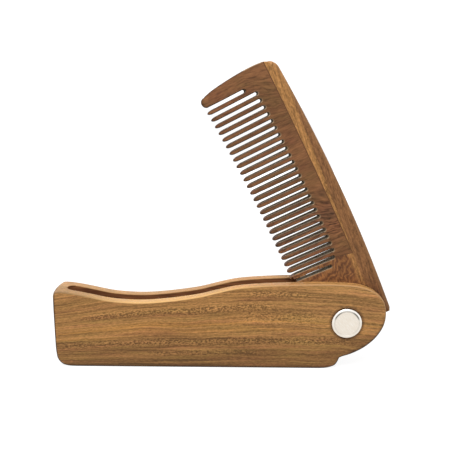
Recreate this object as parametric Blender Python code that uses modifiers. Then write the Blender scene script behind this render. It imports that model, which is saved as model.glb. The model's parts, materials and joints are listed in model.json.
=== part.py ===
"""A folding wooden pocket comb, half open, standing on its handle.

+X runs along the handle towards the pivot, +Y through its thickness and +Z up.
The origin is the middle of the handle's flat base. The comb head is drawn closed,
with the pivot as its origin and its tip at -X, and then turned open about the pivot.
"""

import math

import bmesh
import bpy
from mathutils import Matrix, Vector

MM = 0.001

# Handle: one block with a slot routed in from the top
HANDLE_THICKNESS = 13.0 * MM
HANDLE_EDGE_ROUND = 0.7 * MM
SLOT_WIDTH = 5.6 * MM
SLOT_LEFT = -46.1 * MM
WEB_TOP = 3.3 * MM
WEB_RIGHT = 44.1 * MM
CUTTER_REACH = 90.0 * MM

# Pivot and rivet
PIVOT = Vector((48.39 * MM, 0.0, 16.21 * MM))
OPENING_DEG = 63.25
SHAFT_RADIUS = 2.0 * MM
HOLE_RADIUS = 2.15 * MM
HEAD_RADIUS = 5.08 * MM
HEAD_CHAMFER = 0.4 * MM
HEAD_STANDS_OUT = 0.6 * MM
DISC_RADIUS = 4.25 * MM
DISC_SUNK = 0.12 * MM
RECESS_RADIUS = 5.3 * MM
RECESS_DEPTH = 0.5 * MM
SEAT_GAP = 0.3 * MM
ROUND_SIDES = 40

# Comb head, closed, from the pivot
COMB_THICKNESS = 5.0 * MM
TIP_THICKNESS = 3.0 * MM
COMB_END = -88.95 * MM
SPINE_CREST = 17.54 * MM
SPINE_CURVE_RADIUS = 540.0 * MM
SPINE_MIDDLE = -42.5 * MM
SPINE_EDGE_ROUND = 1.3 * MM
SPINE_ROUND_ABOVE = 13.8 * MM
END_CORNER_RADIUS = 3.6 * MM
TAIL_X = 3.95 * MM
TAIL_CORNER_RADIUS = 1.0 * MM
HUB_RADIUS = 11.0 * MM
JOINT_CREST = 12.32 * MM
JOINT_CURVE_RADIUS = 1480.0 * MM
JOINT_MIDDLE = -55.0 * MM
JOINT_LEFT = -89.3 * MM
JOINT_RIGHT = -20.1 * MM
GLUE_GAP = 0.3 * MM
TAPER_TOP = 11.0 * MM
TAPER_FADE = 10.0 * MM

# Teeth: slots on a fan whose lines meet far below the tips
SLOT_COUNT = 27
SLOT_PITCH = 2.48 * MM
FIRST_SLOT_X = -83.65 * MM
SLOT_LEVEL = -2.0 * MM
FAN_CENTRE = Vector((-64.5 * MM, -1057.0 * MM))
TOOTH_GAP = 1.1 * MM
TIP_CREST = -10.2 * MM
TIP_CURVE_RADIUS = 600.0 * MM
TIP_MIDDLE = -45.5 * MM
ROOT_CREST = 6.8 * MM
ROOT_CURVE_RADIUS = 480.0 * MM
ROOT_MIDDLE = -48.0 * MM
FIRST_SLOT_TOP = 1.75 * MM
LAST_SLOT_TOP = 4.4 * MM
GUARD_TIP = Vector((-86.25 * MM, -10.35 * MM))
GUARD_TIP_RADIUS = 1.25 * MM
GUARD_INNER_RISE = 1.2 * MM
BLOCK_BOTTOM = -10.0 * MM


def clear_scene():
    """Removes whatever the scene starts with."""
    for old in list(bpy.data.objects):
        bpy.data.objects.remove(old, do_unlink=True)


def new_collection(name, hidden=False):
    made = bpy.data.collections.new(name)
    made.hide_render = hidden
    bpy.context.scene.collection.children.link(made)
    return made


def new_material(name, colour, roughness, metallic=0.0):
    made = bpy.data.materials.new(name)
    made.use_nodes = True
    shader = made.node_tree.nodes["Principled BSDF"]
    shader.inputs["Base Color"].default_value = (*colour, 1.0)
    shader.inputs["Roughness"].default_value = roughness
    shader.inputs["Metallic"].default_value = metallic
    return made


def arc(centre, radius, start_deg, end_deg, steps):
    """Points along an arc in the XZ plane, both ends included."""
    turns = (math.radians(start_deg + (end_deg - start_deg) * i / steps) for i in range(steps + 1))
    return [Vector((centre[0] + radius * math.cos(a), centre[1] + radius * math.sin(a))) for a in turns]


def smooth_through(knots, steps):
    """A curve through the knots, given in millimetres, with steps pieces between each two."""
    knots = [Vector(knot) * MM for knot in knots]
    ends = [knots[0] * 2 - knots[1], *knots, knots[-1] * 2 - knots[-2]]
    points = []
    for before, start, end, after in zip(ends, ends[1:], ends[2:], ends[3:]):
        for i in range(steps):
            t = i / steps
            points.append(
                0.5 * (
                    2 * start
                    + (end - before) * t
                    + (2 * before - 5 * start + 4 * end - after) * t**2
                    + (3 * start - 3 * end + after - before) * t**3
                )
            )
    return points + [knots[-1]]


def arch(x, crest, radius, middle):
    """Height at x of a shallow arch that is highest at its middle."""
    return crest - radius + math.sqrt(radius**2 - (x - middle) ** 2)


def joint_height(x):
    """Height of the glue joint between the plate and the spine."""
    return arch(x, JOINT_CREST, JOINT_CURVE_RADIUS, JOINT_MIDDLE)


def spine_height(x):
    """Height of the spine's back."""
    return arch(x, SPINE_CREST, SPINE_CURVE_RADIUS, SPINE_MIDDLE)


def tip_height(x):
    """Height of the arch that the tips lie on."""
    return arch(x, TIP_CREST, TIP_CURVE_RADIUS, TIP_MIDDLE)


def spread(start, end, steps):
    """Evenly spaced values from start to end, both included."""
    return [start + (end - start) * i / steps for i in range(steps + 1)]


def handle_outline():
    """Counter-clockwise from the left end of the flat base."""
    step = smooth_through(
        [(40.0, 0.0), (42.2, 0.2), (44.34, 0.82), (45.34, 1.6), (46.02, 2.79), (46.4, 3.75), (47.15, 4.2)], 3)
    big_end = smooth_through(
        [(47.15, 4.2), (50.83, 5.5), (55.1, 7.96), (58.66, 11.36), (60.95, 15.54), (61.44, 19.84),
         (60.39, 23.93), (57.35, 26.94), (53.28, 28.64), (48.62, 29.32), (39.61, 29.56), (26.62, 29.23)], 4)
    top = smooth_through(
        [(26.62, 29.23), (18.62, 28.78), (11.43, 28.03), (5.35, 26.65), (-0.83, 25.07), (-7.32, 23.99),
         (-13.71, 23.2), (-19.8, 22.77), (-25.8, 22.87), (-31.81, 23.46), (-38.13, 24.75),
         (-42.84, 25.65), (-47.15, 26.16), (-49.0, 25.89), (-49.73, 24.68)], 3)
    left = smooth_through(
        [(-49.72, 19.78), (-49.47, 8.78), (-49.27, 5.08), (-48.74, 2.54), (-47.16, 0.76), (-45.01, 0.14),
         (-42.5, 0.0)], 3)
    return step + big_end[1:] + top[1:] + left


def slot_line(number):
    """A point on the slot's middle line and its direction from the tips up to the root."""
    foot = Vector((FIRST_SLOT_X + number * SLOT_PITCH, SLOT_LEVEL))
    return foot, (foot - FAN_CENTRE).normalized()


def slot_wall(number, side, height):
    """The point at this height on a wall of the slot: side -1 is its left wall and +1 its right."""
    foot, up = slot_line(number)
    across = Vector((up.y, -up.x))
    start = foot + across * side * TOOTH_GAP / 2
    return start + up * (height - start.y) / up.y


def slot_top(number):
    """The height at which the slot's rounded end starts."""
    if number == 0:
        return FIRST_SLOT_TOP
    if number == SLOT_COUNT - 1:
        return LAST_SLOT_TOP
    return arch(slot_line(number)[0].x, ROOT_CREST, ROOT_CURVE_RADIUS, ROOT_MIDDLE) - TOOTH_GAP / 2


def slot_end(number, start_deg=180.0, end_deg=0.0, steps=6):
    """The slot's rounded end, from its left wall over to its right."""
    left = slot_wall(number, -1, slot_top(number))
    right = slot_wall(number, 1, slot_top(number))
    return arc((left + right) / 2, (right - left).length / 2, start_deg, end_deg, steps)


def tooth_tip(number):
    """The rounded tip of the tooth between slot number - 1 and slot number, left to right."""
    x = (slot_line(number - 1)[0].x + slot_line(number)[0].x) / 2
    height = tip_height(x)
    left = slot_wall(number - 1, 1, height)
    right = slot_wall(number, -1, height)
    radius = (right.x - left.x) / 2
    rise = Vector((0.0, radius))
    return arc((left + right) / 2 + rise, radius, 180.0, 360.0, 6)


def guard_tooth():
    """The broad tooth at the comb's tip, from the glue joint down its outer side and round."""
    outer = smooth_through(
        [(-89.4, 11.76), (-89.65, 8.5), (-89.55, 3.5), (-89.05, -2.2), (-88.4, -6.9), (-87.5, -10.35)], 3)
    return outer[:-1] + arc(GUARD_TIP, GUARD_TIP_RADIUS, 180.0, 340.0, 6) + [
        slot_wall(0, -1, GUARD_TIP.y + GUARD_INNER_RISE)
    ]


def plate_outline():
    """The dark tooth plate: the guard tooth, 25 teeth and their slots, up to the glue joint."""
    outline = guard_tooth() + slot_end(0)
    for number in range(1, SLOT_COUNT - 2):
        outline += tooth_tip(number) + slot_end(number)
    last = SLOT_COUNT - 2
    outline += tooth_tip(last) + slot_end(last, 180.0, 105.0, 3)
    xs = spread(JOINT_RIGHT - GLUE_GAP / 2, outline[0].x, 12)
    return outline + [Vector((x, joint_height(x) - GLUE_GAP / 2)) for x in xs[:-1]]


def spine_outline():
    """The light spine with its hub, last tooth and last slot, back along the glue joint."""
    spine_left = COMB_END + END_CORNER_RADIUS
    centre_z = spine_height(spine_left) - END_CORNER_RADIUS
    back_xs = spread(spine_left, TAIL_X - TAIL_CORNER_RADIUS, 24)
    back = [Vector((x, spine_height(x))) for x in back_xs]
    tail_centre = back[-1] - Vector((0.0, TAIL_CORNER_RADIUS))
    hub_start = math.degrees(math.acos(TAIL_X / HUB_RADIUS))
    outline = back + arc(tail_centre, TAIL_CORNER_RADIUS, 60.0, 0.0, 3)
    outline += arc((0.0, 0.0), HUB_RADIUS, hub_start, -95.0, 24)
    last = SLOT_COUNT - 1
    outline += [Vector((slot_wall(last, 1, BLOCK_BOTTOM).x + TAIL_CORNER_RADIUS, BLOCK_BOTTOM))]
    outline += [slot_wall(last, 1, BLOCK_BOTTOM + TAIL_CORNER_RADIUS)]
    outline += slot_end(last)[::-1] + tooth_tip(last)[::-1] + slot_end(last - 1, 75.0, 0.0, 3)[::-1]
    joint_xs = spread(JOINT_RIGHT + GLUE_GAP / 2, JOINT_LEFT, 12)
    joint = [Vector((x, joint_height(x) + GLUE_GAP / 2)) for x in joint_xs]
    corner = arc((spine_left, centre_z), END_CORNER_RADIUS, 170.0, 100.0, 4)
    return outline + joint + corner


def prism(name, outline, thickness, collection):
    """A mesh object of a flat XZ outline, with half its thickness each side of Y = 0."""
    curve = bpy.data.curves.new(name + "_outline", "CURVE")
    curve.dimensions = "2D"
    curve.fill_mode = "BOTH"
    curve.extrude = thickness / 2
    spline = curve.splines.new("POLY")
    spline.points.add(len(outline) - 1)
    for point, place in zip(spline.points, outline):
        point.co = (place.x, place.y, 0.0, 1.0)
    spline.use_cyclic_u = True
    flat = bpy.data.objects.new(name + "_outline", curve)
    collection.objects.link(flat)
    flat.rotation_euler.x = math.pi / 2
    bpy.context.view_layer.update()
    graph = bpy.context.evaluated_depsgraph_get()
    mesh = bpy.data.meshes.new_from_object(flat.evaluated_get(graph))
    mesh.name = name
    mesh.transform(flat.matrix_world)
    bpy.data.objects.remove(flat, do_unlink=True)
    edit = bmesh.new()
    edit.from_mesh(mesh)
    bmesh.ops.remove_doubles(edit, verts=edit.verts, dist=0.001 * MM)
    bmesh.ops.dissolve_limit(edit, angle_limit=math.radians(0.1), verts=edit.verts, edges=edit.edges)
    bmesh.ops.recalc_face_normals(edit, faces=edit.faces)
    edit.to_mesh(mesh)
    edit.free()
    made = bpy.data.objects.new(name, mesh)
    collection.objects.link(made)
    return made


def round_rim(made, width, segments, chosen):
    """Rounds the edges between the flat faces and the sides where chosen(x, z) is true."""
    edit = bmesh.new()
    edit.from_mesh(made.data)
    rim = [
        edge for edge in edit.edges
        if abs(edge.verts[0].co.y - edge.verts[1].co.y) < 0.001 * MM
        and all(chosen(vert.co.x, vert.co.z) for vert in edge.verts)
    ]
    bmesh.ops.bevel(
        edit, geom=rim, offset=width, segments=segments, profile=0.5, material=-1, affect="EDGES")
    edit.to_mesh(made.data)
    edit.free()


def box_cutter(name, low, high, collection):
    bpy.ops.mesh.primitive_cube_add(size=1.0)
    made = bpy.context.active_object
    made.name = name
    low, high = Vector(low), Vector(high)
    made.data.transform(Matrix.Translation((low + high) / 2) @ Matrix.Diagonal((*(high - low), 1.0)))
    return as_cutter(made, collection)


def pin_cutter(name, radius, length, place, collection):
    """A round cutter along Y."""
    bpy.ops.mesh.primitive_cylinder_add(vertices=ROUND_SIDES, radius=radius, depth=length)
    made = bpy.context.active_object
    made.name = name
    made.rotation_euler.x = math.pi / 2
    made.location = place
    return as_cutter(made, collection)


def as_cutter(made, collection):
    for holder in list(made.users_collection):
        holder.objects.unlink(made)
    collection.objects.link(made)
    made.hide_render = True
    made.display_type = "WIRE"
    return made


def cut(made, *cutters):
    for cutter in cutters:
        boolean = made.modifiers.new(cutter.name, "BOOLEAN")
        boolean.operation = "DIFFERENCE"
        boolean.solver = "EXACT"
        boolean.object = cutter


def build_handle(parts, cutters):
    handle = prism("handle", handle_outline(), HANDLE_THICKNESS, parts)
    round_rim(handle, HANDLE_EDGE_ROUND, 2, lambda x, z: True)
    handle.data.materials.append(new_material("handle_wood", (0.36, 0.19, 0.075), 0.55))
    half = SLOT_WIDTH / 2
    slot = box_cutter(
        "slot_cutter", (SLOT_LEFT + half, -half, WEB_TOP), (CUTTER_REACH, half, CUTTER_REACH), cutters)
    fork = box_cutter(
        "fork_cutter", (WEB_RIGHT, -half, -CUTTER_REACH), (CUTTER_REACH, half, WEB_TOP * 2), cutters)
    bpy.ops.mesh.primitive_cylinder_add(
        vertices=ROUND_SIDES, radius=half, depth=CUTTER_REACH,
        location=(SLOT_LEFT + half, 0.0, WEB_TOP + CUTTER_REACH / 2))
    slot_end_cutter = bpy.context.active_object
    slot_end_cutter.name = "slot_end_cutter"
    as_cutter(slot_end_cutter, cutters)
    hole = pin_cutter("handle_hole_cutter", HOLE_RADIUS, 2 * HANDLE_THICKNESS, PIVOT, cutters)
    recesses = []
    for side, label in ((-1, "front"), (1, "back")):
        depth = 2 * RECESS_DEPTH
        place = PIVOT + Vector((0.0, side * HANDLE_THICKNESS / 2, 0.0))
        recesses.append(pin_cutter(f"{label}_recess_cutter", RECESS_RADIUS, depth, place, cutters))
    cut(handle, slot, slot_end_cutter, fork, hole, *recesses)


def build_rivet(parts):
    """A turned rivet along Y: a shaft with a chamfered head in each recess."""
    face = HANDLE_THICKNESS / 2
    under = face - RECESS_DEPTH + SEAT_GAP
    top = face + HEAD_STANDS_OUT
    half = [
        (0.0, top - DISC_SUNK),
        (DISC_RADIUS, top - DISC_SUNK),
        (DISC_RADIUS + DISC_SUNK, top),
        (HEAD_RADIUS - HEAD_CHAMFER, top),
        (HEAD_RADIUS, top - HEAD_CHAMFER),
        (HEAD_RADIUS, under),
        (SHAFT_RADIUS, under),
    ]
    profile = half + [(radius, -height) for radius, height in reversed(half)]
    mesh = bpy.data.meshes.new("pivot_rivet")
    edit = bmesh.new()
    verts = [edit.verts.new((radius, 0.0, height)) for radius, height in profile]
    for first, second in zip(verts, verts[1:]):
        edit.edges.new((first, second))
    edit.to_mesh(mesh)
    edit.free()
    rivet = bpy.data.objects.new("pivot_rivet", mesh)
    parts.objects.link(rivet)
    rivet.location = PIVOT
    rivet.rotation_euler.x = math.pi / 2
    screw = rivet.modifiers.new("turned", "SCREW")
    screw.axis = "Z"
    screw.angle = math.tau
    screw.steps = ROUND_SIDES
    screw.render_steps = ROUND_SIDES
    screw.use_merge_vertices = True
    screw.merge_threshold = 0.001 * MM
    rivet.data.materials.append(new_material("rivet_steel", (0.86, 0.82, 0.74), 0.3, 1.0))


def taper_cutter(label, side, cutters):
    """Thins the teeth towards their tips on one face, and fades out towards the hub."""
    high = (CUTTER_REACH, CUTTER_REACH, CUTTER_REACH)
    cutter = box_cutter(f"{label}_taper_cutter", (2 * COMB_END, 0.0, -CUTTER_REACH), high, cutters)
    full = COMB_THICKNESS / 2
    tips = tip_height(COMB_END)
    slope = (full - TIP_THICKNESS / 2) / (TAPER_TOP - tips)
    fade = (full - TIP_THICKNESS / 2) / TAPER_FADE
    start = Vector((JOINT_RIGHT, full, TAPER_TOP))
    edit = bmesh.new()
    edit.from_mesh(cutter.data)
    for normal in (Vector((0.0, -1.0, slope)), Vector((fade, -1.0, slope))):
        whole = edit.verts[:] + edit.edges[:] + edit.faces[:]
        found = bmesh.ops.bisect_plane(
            edit, geom=whole, plane_co=start, plane_no=normal, clear_outer=True, dist=1e-7)
        rim = [item for item in found["geom_cut"] if isinstance(item, bmesh.types.BMEdge)]
        bmesh.ops.contextual_create(edit, geom=rim)
    if side < 0:
        bmesh.ops.scale(edit, vec=(1.0, -1.0, 1.0), verts=edit.verts)
    bmesh.ops.recalc_face_normals(edit, faces=edit.faces)
    edit.to_mesh(cutter.data)
    edit.free()
    return cutter


def build_comb(parts, cutters):
    """The comb head on an empty at the pivot, which opens it."""
    pivot = bpy.data.objects.new("comb_pivot", None)
    parts.objects.link(pivot)
    pivot.location = PIVOT
    pivot.rotation_euler.y = math.radians(OPENING_DEG)
    spine = prism("comb_spine", spine_outline(), COMB_THICKNESS, parts)
    round_rim(spine, SPINE_EDGE_ROUND, 3, lambda x, z: z > SPINE_ROUND_ABOVE)
    plate = prism("tooth_plate", plate_outline(), COMB_THICKNESS, parts)
    spine.data.materials.append(new_material("spine_wood", (0.34, 0.17, 0.07), 0.5))
    plate.data.materials.append(new_material("tooth_wood", (0.2, 0.085, 0.04), 0.5))
    tapers = [taper_cutter("front", -1, cutters), taper_cutter("back", 1, cutters)]
    hole = pin_cutter("comb_hole_cutter", HOLE_RADIUS, 2 * HANDLE_THICKNESS, (0.0, 0.0, 0.0), cutters)
    cut(spine, *tapers, hole)
    cut(plate, *tapers)
    for piece in (spine, plate, *tapers, hole):
        piece.parent = pivot


def main():
    clear_scene()
    parts = new_collection("folding_comb")
    cutters = new_collection("cutters", hidden=True)
    build_handle(parts, cutters)
    build_rivet(parts)
    build_comb(parts, cutters)


main()
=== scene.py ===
"""Dresses the folding wooden comb and sets it in a plain studio.

+X runs along the handle towards the pivot, +Y through its thickness away from the camera
and +Z up. The pieces are modelled in millimetres with bmesh and scaled to metres at the end.
The comb head is drawn closed, with the pivot as its origin and its tip at -X, and then
turned open about the pivot by the angle that the frame's joint gives.
"""

import json
import logging
import math
from collections.abc import Iterable
from dataclasses import dataclass, field
from enum import Enum, IntEnum

import bmesh
import bpy
from mathutils import Matrix, Vector
from mathutils.geometry import intersect_point_line


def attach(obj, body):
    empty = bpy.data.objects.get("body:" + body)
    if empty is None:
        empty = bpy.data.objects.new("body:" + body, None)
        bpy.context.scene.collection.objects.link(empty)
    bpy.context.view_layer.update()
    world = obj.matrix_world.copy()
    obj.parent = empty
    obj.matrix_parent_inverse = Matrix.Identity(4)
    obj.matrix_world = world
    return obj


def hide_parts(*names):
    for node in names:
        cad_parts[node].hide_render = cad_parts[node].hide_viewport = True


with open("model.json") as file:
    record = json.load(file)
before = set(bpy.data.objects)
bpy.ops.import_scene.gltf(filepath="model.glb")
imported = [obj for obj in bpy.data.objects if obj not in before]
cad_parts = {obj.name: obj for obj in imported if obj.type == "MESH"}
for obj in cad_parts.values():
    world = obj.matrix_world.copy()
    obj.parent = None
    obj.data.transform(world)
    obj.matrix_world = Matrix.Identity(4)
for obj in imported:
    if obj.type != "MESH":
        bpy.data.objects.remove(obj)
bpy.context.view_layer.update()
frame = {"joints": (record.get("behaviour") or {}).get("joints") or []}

LOG = logging.getLogger("comb")

Pair = tuple[float, float]
Triple = tuple[float, float, float]
Colour = Triple
Knots = tuple[Pair, ...]
ArcPart = tuple[float, float, int]
Socket = bpy.types.NodeSocket
Value = Socket | float
Paint = Socket | Colour

MM = 0.001
MERGE_DIST = 0.0005
SHARP_CORNER = 1.0
UPRIGHT = 0.01
SLOPING = 0.5
NEARLY_LEVEL = 0.8
ORIGIN = Vector((0.0, 0.0, 0.0)).freeze()
RIGHT = Vector((1.0, 0.0, 0.0)).freeze()
UP = Vector((0.0, 0.0, 1.0)).freeze()
WOOD_GLOSS = 0.2
MIX_SHARE, MIX_FIRST, MIX_SECOND, MIX_RESULT = 0, 6, 7, 2


class Body(Enum):
    """The frame's bodies that the pieces ride on."""

    HANDLE = "handle"
    COMB = "comb"


class Slot(Enum):
    """The record's material slots."""

    HANDLE = "handle_wood"
    SPINE = "spine_wood"
    TOOTH = "tooth_wood"
    RIVET = "rivet_metal"


class Cut(IntEnum):
    """The place of a face's material in its object: the outside, or the inside of a slot."""

    OUTSIDE = 0
    INSIDE = 1


class Side(IntEnum):
    """The two flat sides, by the sign of their Y."""

    FRONT = -1
    BACK = 1


def srgb(red: float, green: float, blue: float) -> Colour:
    """Turns display values into linear light.

    Args:
        red: the red, 0 to 255.
        green: the green.
        blue: the blue.

    Returns:
        The colour.
    """
    def linear(value: float) -> float:
        """Turns one display value into linear light."""
        share = value / 255
        return share / 12.92 if share <= 0.04045 else ((share + 0.055) / 1.055) ** 2.4

    return linear(red), linear(green), linear(blue)


def arc(centre: Vector, radius: float, start_deg: float, end_deg: float, steps: int) -> list[Vector]:
    """Points along an arc in the XZ plane.

    Args:
        centre: the middle of the circle.
        radius: its radius.
        start_deg: the angle of the first point.
        end_deg: the angle of the last point.
        steps: the number of pieces between them.

    Returns:
        The points, both ends included.
    """
    turns = (math.radians(start_deg + (end_deg - start_deg) * i / steps) for i in range(steps + 1))
    return [centre + Vector((math.cos(turn), math.sin(turn))) * radius for turn in turns]


def smooth_through(knots: Knots, steps: int) -> list[Vector]:
    """A smooth curve through the knots.

    Args:
        knots: the places that it passes.
        steps: the number of pieces between each two.

    Returns:
        The points, both ends included.
    """
    places = [Vector(knot) for knot in knots]
    ends = [places[0] * 2 - places[1], *places, places[-1] * 2 - places[-2]]
    points = []
    for before, start, end, after in zip(ends, ends[1:], ends[2:], ends[3:]):
        for i in range(steps):
            t = i / steps
            bend = (2 * before - 5 * start + 4 * end - after) * t**2
            twist = (3 * start - 3 * end + after - before) * t**3
            points.append(0.5 * (2 * start + (end - before) * t + bend + twist))
    return points + [places[-1]]


def spread(start: float, end: float, steps: int) -> list[float]:
    """Evenly spaced values from start to end, both included."""
    return [start + (end - start) * i / steps for i in range(steps + 1)]


@dataclass(frozen=True)
class Arch:
    """A shallow arch over X.

    Attributes:
        crest: its greatest height.
        radius: its radius.
        middle: where along X it is highest.
    """

    crest: float
    radius: float
    middle: float

    def at(self, x: float) -> float:
        """The height at x."""
        return self.crest - self.radius + math.sqrt(self.radius**2 - (x - self.middle) ** 2)


class Blank:
    """A mesh in the making, in millimetres, with a record of its rounded edges, which the finishes
    colour with wear, painted highlight and painted shade.
    """

    # The mask of rounded edges and wall tops, coloured with wear and with painted highlight and shade.
    WEAR_AND_SHADING = "wear_and_shading"

    def __init__(self) -> None:
        """Starts with an empty mesh."""
        self.mesh = bmesh.new()
        self.wear_and_shading = self.mesh.verts.layers.float.new(self.WEAR_AND_SHADING)

    def everything(self) -> list[bmesh.types.BMVert | bmesh.types.BMEdge | bmesh.types.BMFace]:
        """All vertices, edges and faces."""
        return self.mesh.verts[:] + self.mesh.edges[:] + self.mesh.faces[:]

    def plate(self, outline: Iterable[Vector], near: float, far: float) -> None:
        """Extrudes a flat outline in the XZ plane from one Y to another.

        Args:
            outline: its corners in order.
            near: the Y of the first side.
            far: the Y of the other.
        """
        corners = [self.mesh.verts.new((place.x, near, place.y)) for place in outline]
        face = self.mesh.faces.new(corners)
        grown = bmesh.ops.extrude_face_region(self.mesh, geom=[face])["geom"]
        moved = [item for item in grown if isinstance(item, bmesh.types.BMVert)]
        bmesh.ops.translate(self.mesh, verts=moved, vec=(0.0, far - near, 0.0))
        bmesh.ops.recalc_face_normals(self.mesh, faces=self.mesh.faces)

    def turn(self, profile: Iterable[Pair], middle: Vector, sides: int) -> None:
        """Turns a profile about an axis along Y.

        Args:
            profile: the radius and the Y of each of its points.
            middle: a point on the axis, with a Y of 0.
            sides: the number of flats round it.
        """
        corners = [self.mesh.verts.new(middle + Vector((radius, y, 0.0))) for radius, y in profile]
        line = [self.mesh.edges.new(pair) for pair in zip(corners, corners[1:])]
        bmesh.ops.spin(
            self.mesh, geom=[*corners, *line], cent=middle, axis=(0.0, 1.0, 0.0), angle=math.tau,
            steps=sides, use_merge=True)

    def slice(self, faces: Iterable[bmesh.types.BMFace], place: Vector, normal: Vector) -> None:
        """Cuts the given faces along a plane, and removes nothing.

        Args:
            faces: the faces that are cut.
            place: a point on the plane.
            normal: its direction.
        """
        faces = list(faces)
        edges = {edge for face in faces for edge in face.edges}
        verts = {vert for face in faces for vert in face.verts}
        bmesh.ops.bisect_plane(
            self.mesh, geom=[*verts, *edges, *faces], plane_co=place, plane_no=normal, dist=MERGE_DIST)

    def round_off(self, edges: Iterable[bmesh.types.BMEdge], width: float, segments: int) -> None:
        """Rounds edges, and marks what was rounded for wear, painted highlight and painted shade.

        Args:
            edges: the edges.
            width: how far the rounding reaches from the edge.
            segments: the number of faces across it.
        """
        made = bmesh.ops.bevel(
            self.mesh, geom=list(edges), offset=width, offset_type="OFFSET", segments=segments,
            profile=0.5, affect="EDGES", material=-1, clamp_overlap=False)
        rounded = set(made["faces"])
        for vert in made["verts"]:
            if all(face in rounded for face in vert.link_faces):
                vert[self.wear_and_shading] = 1.0

    def tidy(self) -> None:
        """Merges doubled vertices and turns the faces outwards."""
        bmesh.ops.remove_doubles(self.mesh, verts=self.mesh.verts, dist=MERGE_DIST)
        bmesh.ops.recalc_face_normals(self.mesh, faces=self.mesh.faces)

    def finish(self, name: str, body: Body, slot: Slot, skins: list[bpy.types.Material],
               place: Matrix | None = None, sharp_deg: float = 35.0) -> bpy.types.Object:
        """Makes the object, in metres and in its place, and hangs it on its body.

        Args:
            name: the object's name.
            body: the body that it rides on.
            slot: the record slot that it belongs to; not used.
            skins: its materials, in the order of Cut.
            place: where the mesh goes, in millimetres; left out for one drawn in place.
            sharp_deg: an edge that turns more than this stays sharp.

        Returns:
            The object.
        """
        into_place = Matrix.Scale(MM, 4) @ (place or Matrix())
        bmesh.ops.transform(self.mesh, matrix=into_place, verts=self.mesh.verts)
        limit = math.radians(sharp_deg)
        for face in self.mesh.faces:
            face.smooth = True
        for edge in self.mesh.edges:
            edge.smooth = len(edge.link_faces) == 2 and edge.calc_face_angle(0.0) < limit
        open_edges = sum(len(edge.link_faces) != 2 for edge in self.mesh.edges)
        data = bpy.data.meshes.new(name)
        self.mesh.to_mesh(data)
        self.mesh.free()
        made = bpy.data.objects.new(name, data)
        bpy.context.scene.collection.objects.link(made)
        for skin in skins:
            data.materials.append(skin)
        even = made.modifiers.new("even_shading", "WEIGHTED_NORMAL")
        even.keep_sharp = True
        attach(made, body.value)
        LOG.info("%s: %d faces, %d open edges", name, len(data.polygons), open_edges)
        return made


@dataclass(frozen=True)
class Figure:
    """A layer of noise in a finish, drawn out along the grain.

    Attributes:
        pace: its swings to each millimetre along X, Y and Z.
        shift: where in the noise it starts, so that no two layers look alike.
        turn_deg: how far it is turned about Y.
        detail: how much finer noise lies over it.
        roughness: how strong that finer noise is.
        distortion: how wavy it is.
        weight: how much it lightens and darkens the finish.
    """

    pace: Triple
    shift: Triple = (0.0, 0.0, 0.0)
    turn_deg: float = 0.0
    detail: float = 3.0
    roughness: float = 0.55
    distortion: float = 0.0
    weight: float = 1.0


@dataclass(frozen=True)
class Hill:
    """A rise in a pattern around one place.

    Attributes:
        middle: where it is highest.
        width: how far it reaches to each side.
        height: how high it is.
    """

    middle: float
    width: float
    height: float = 1.0


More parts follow.
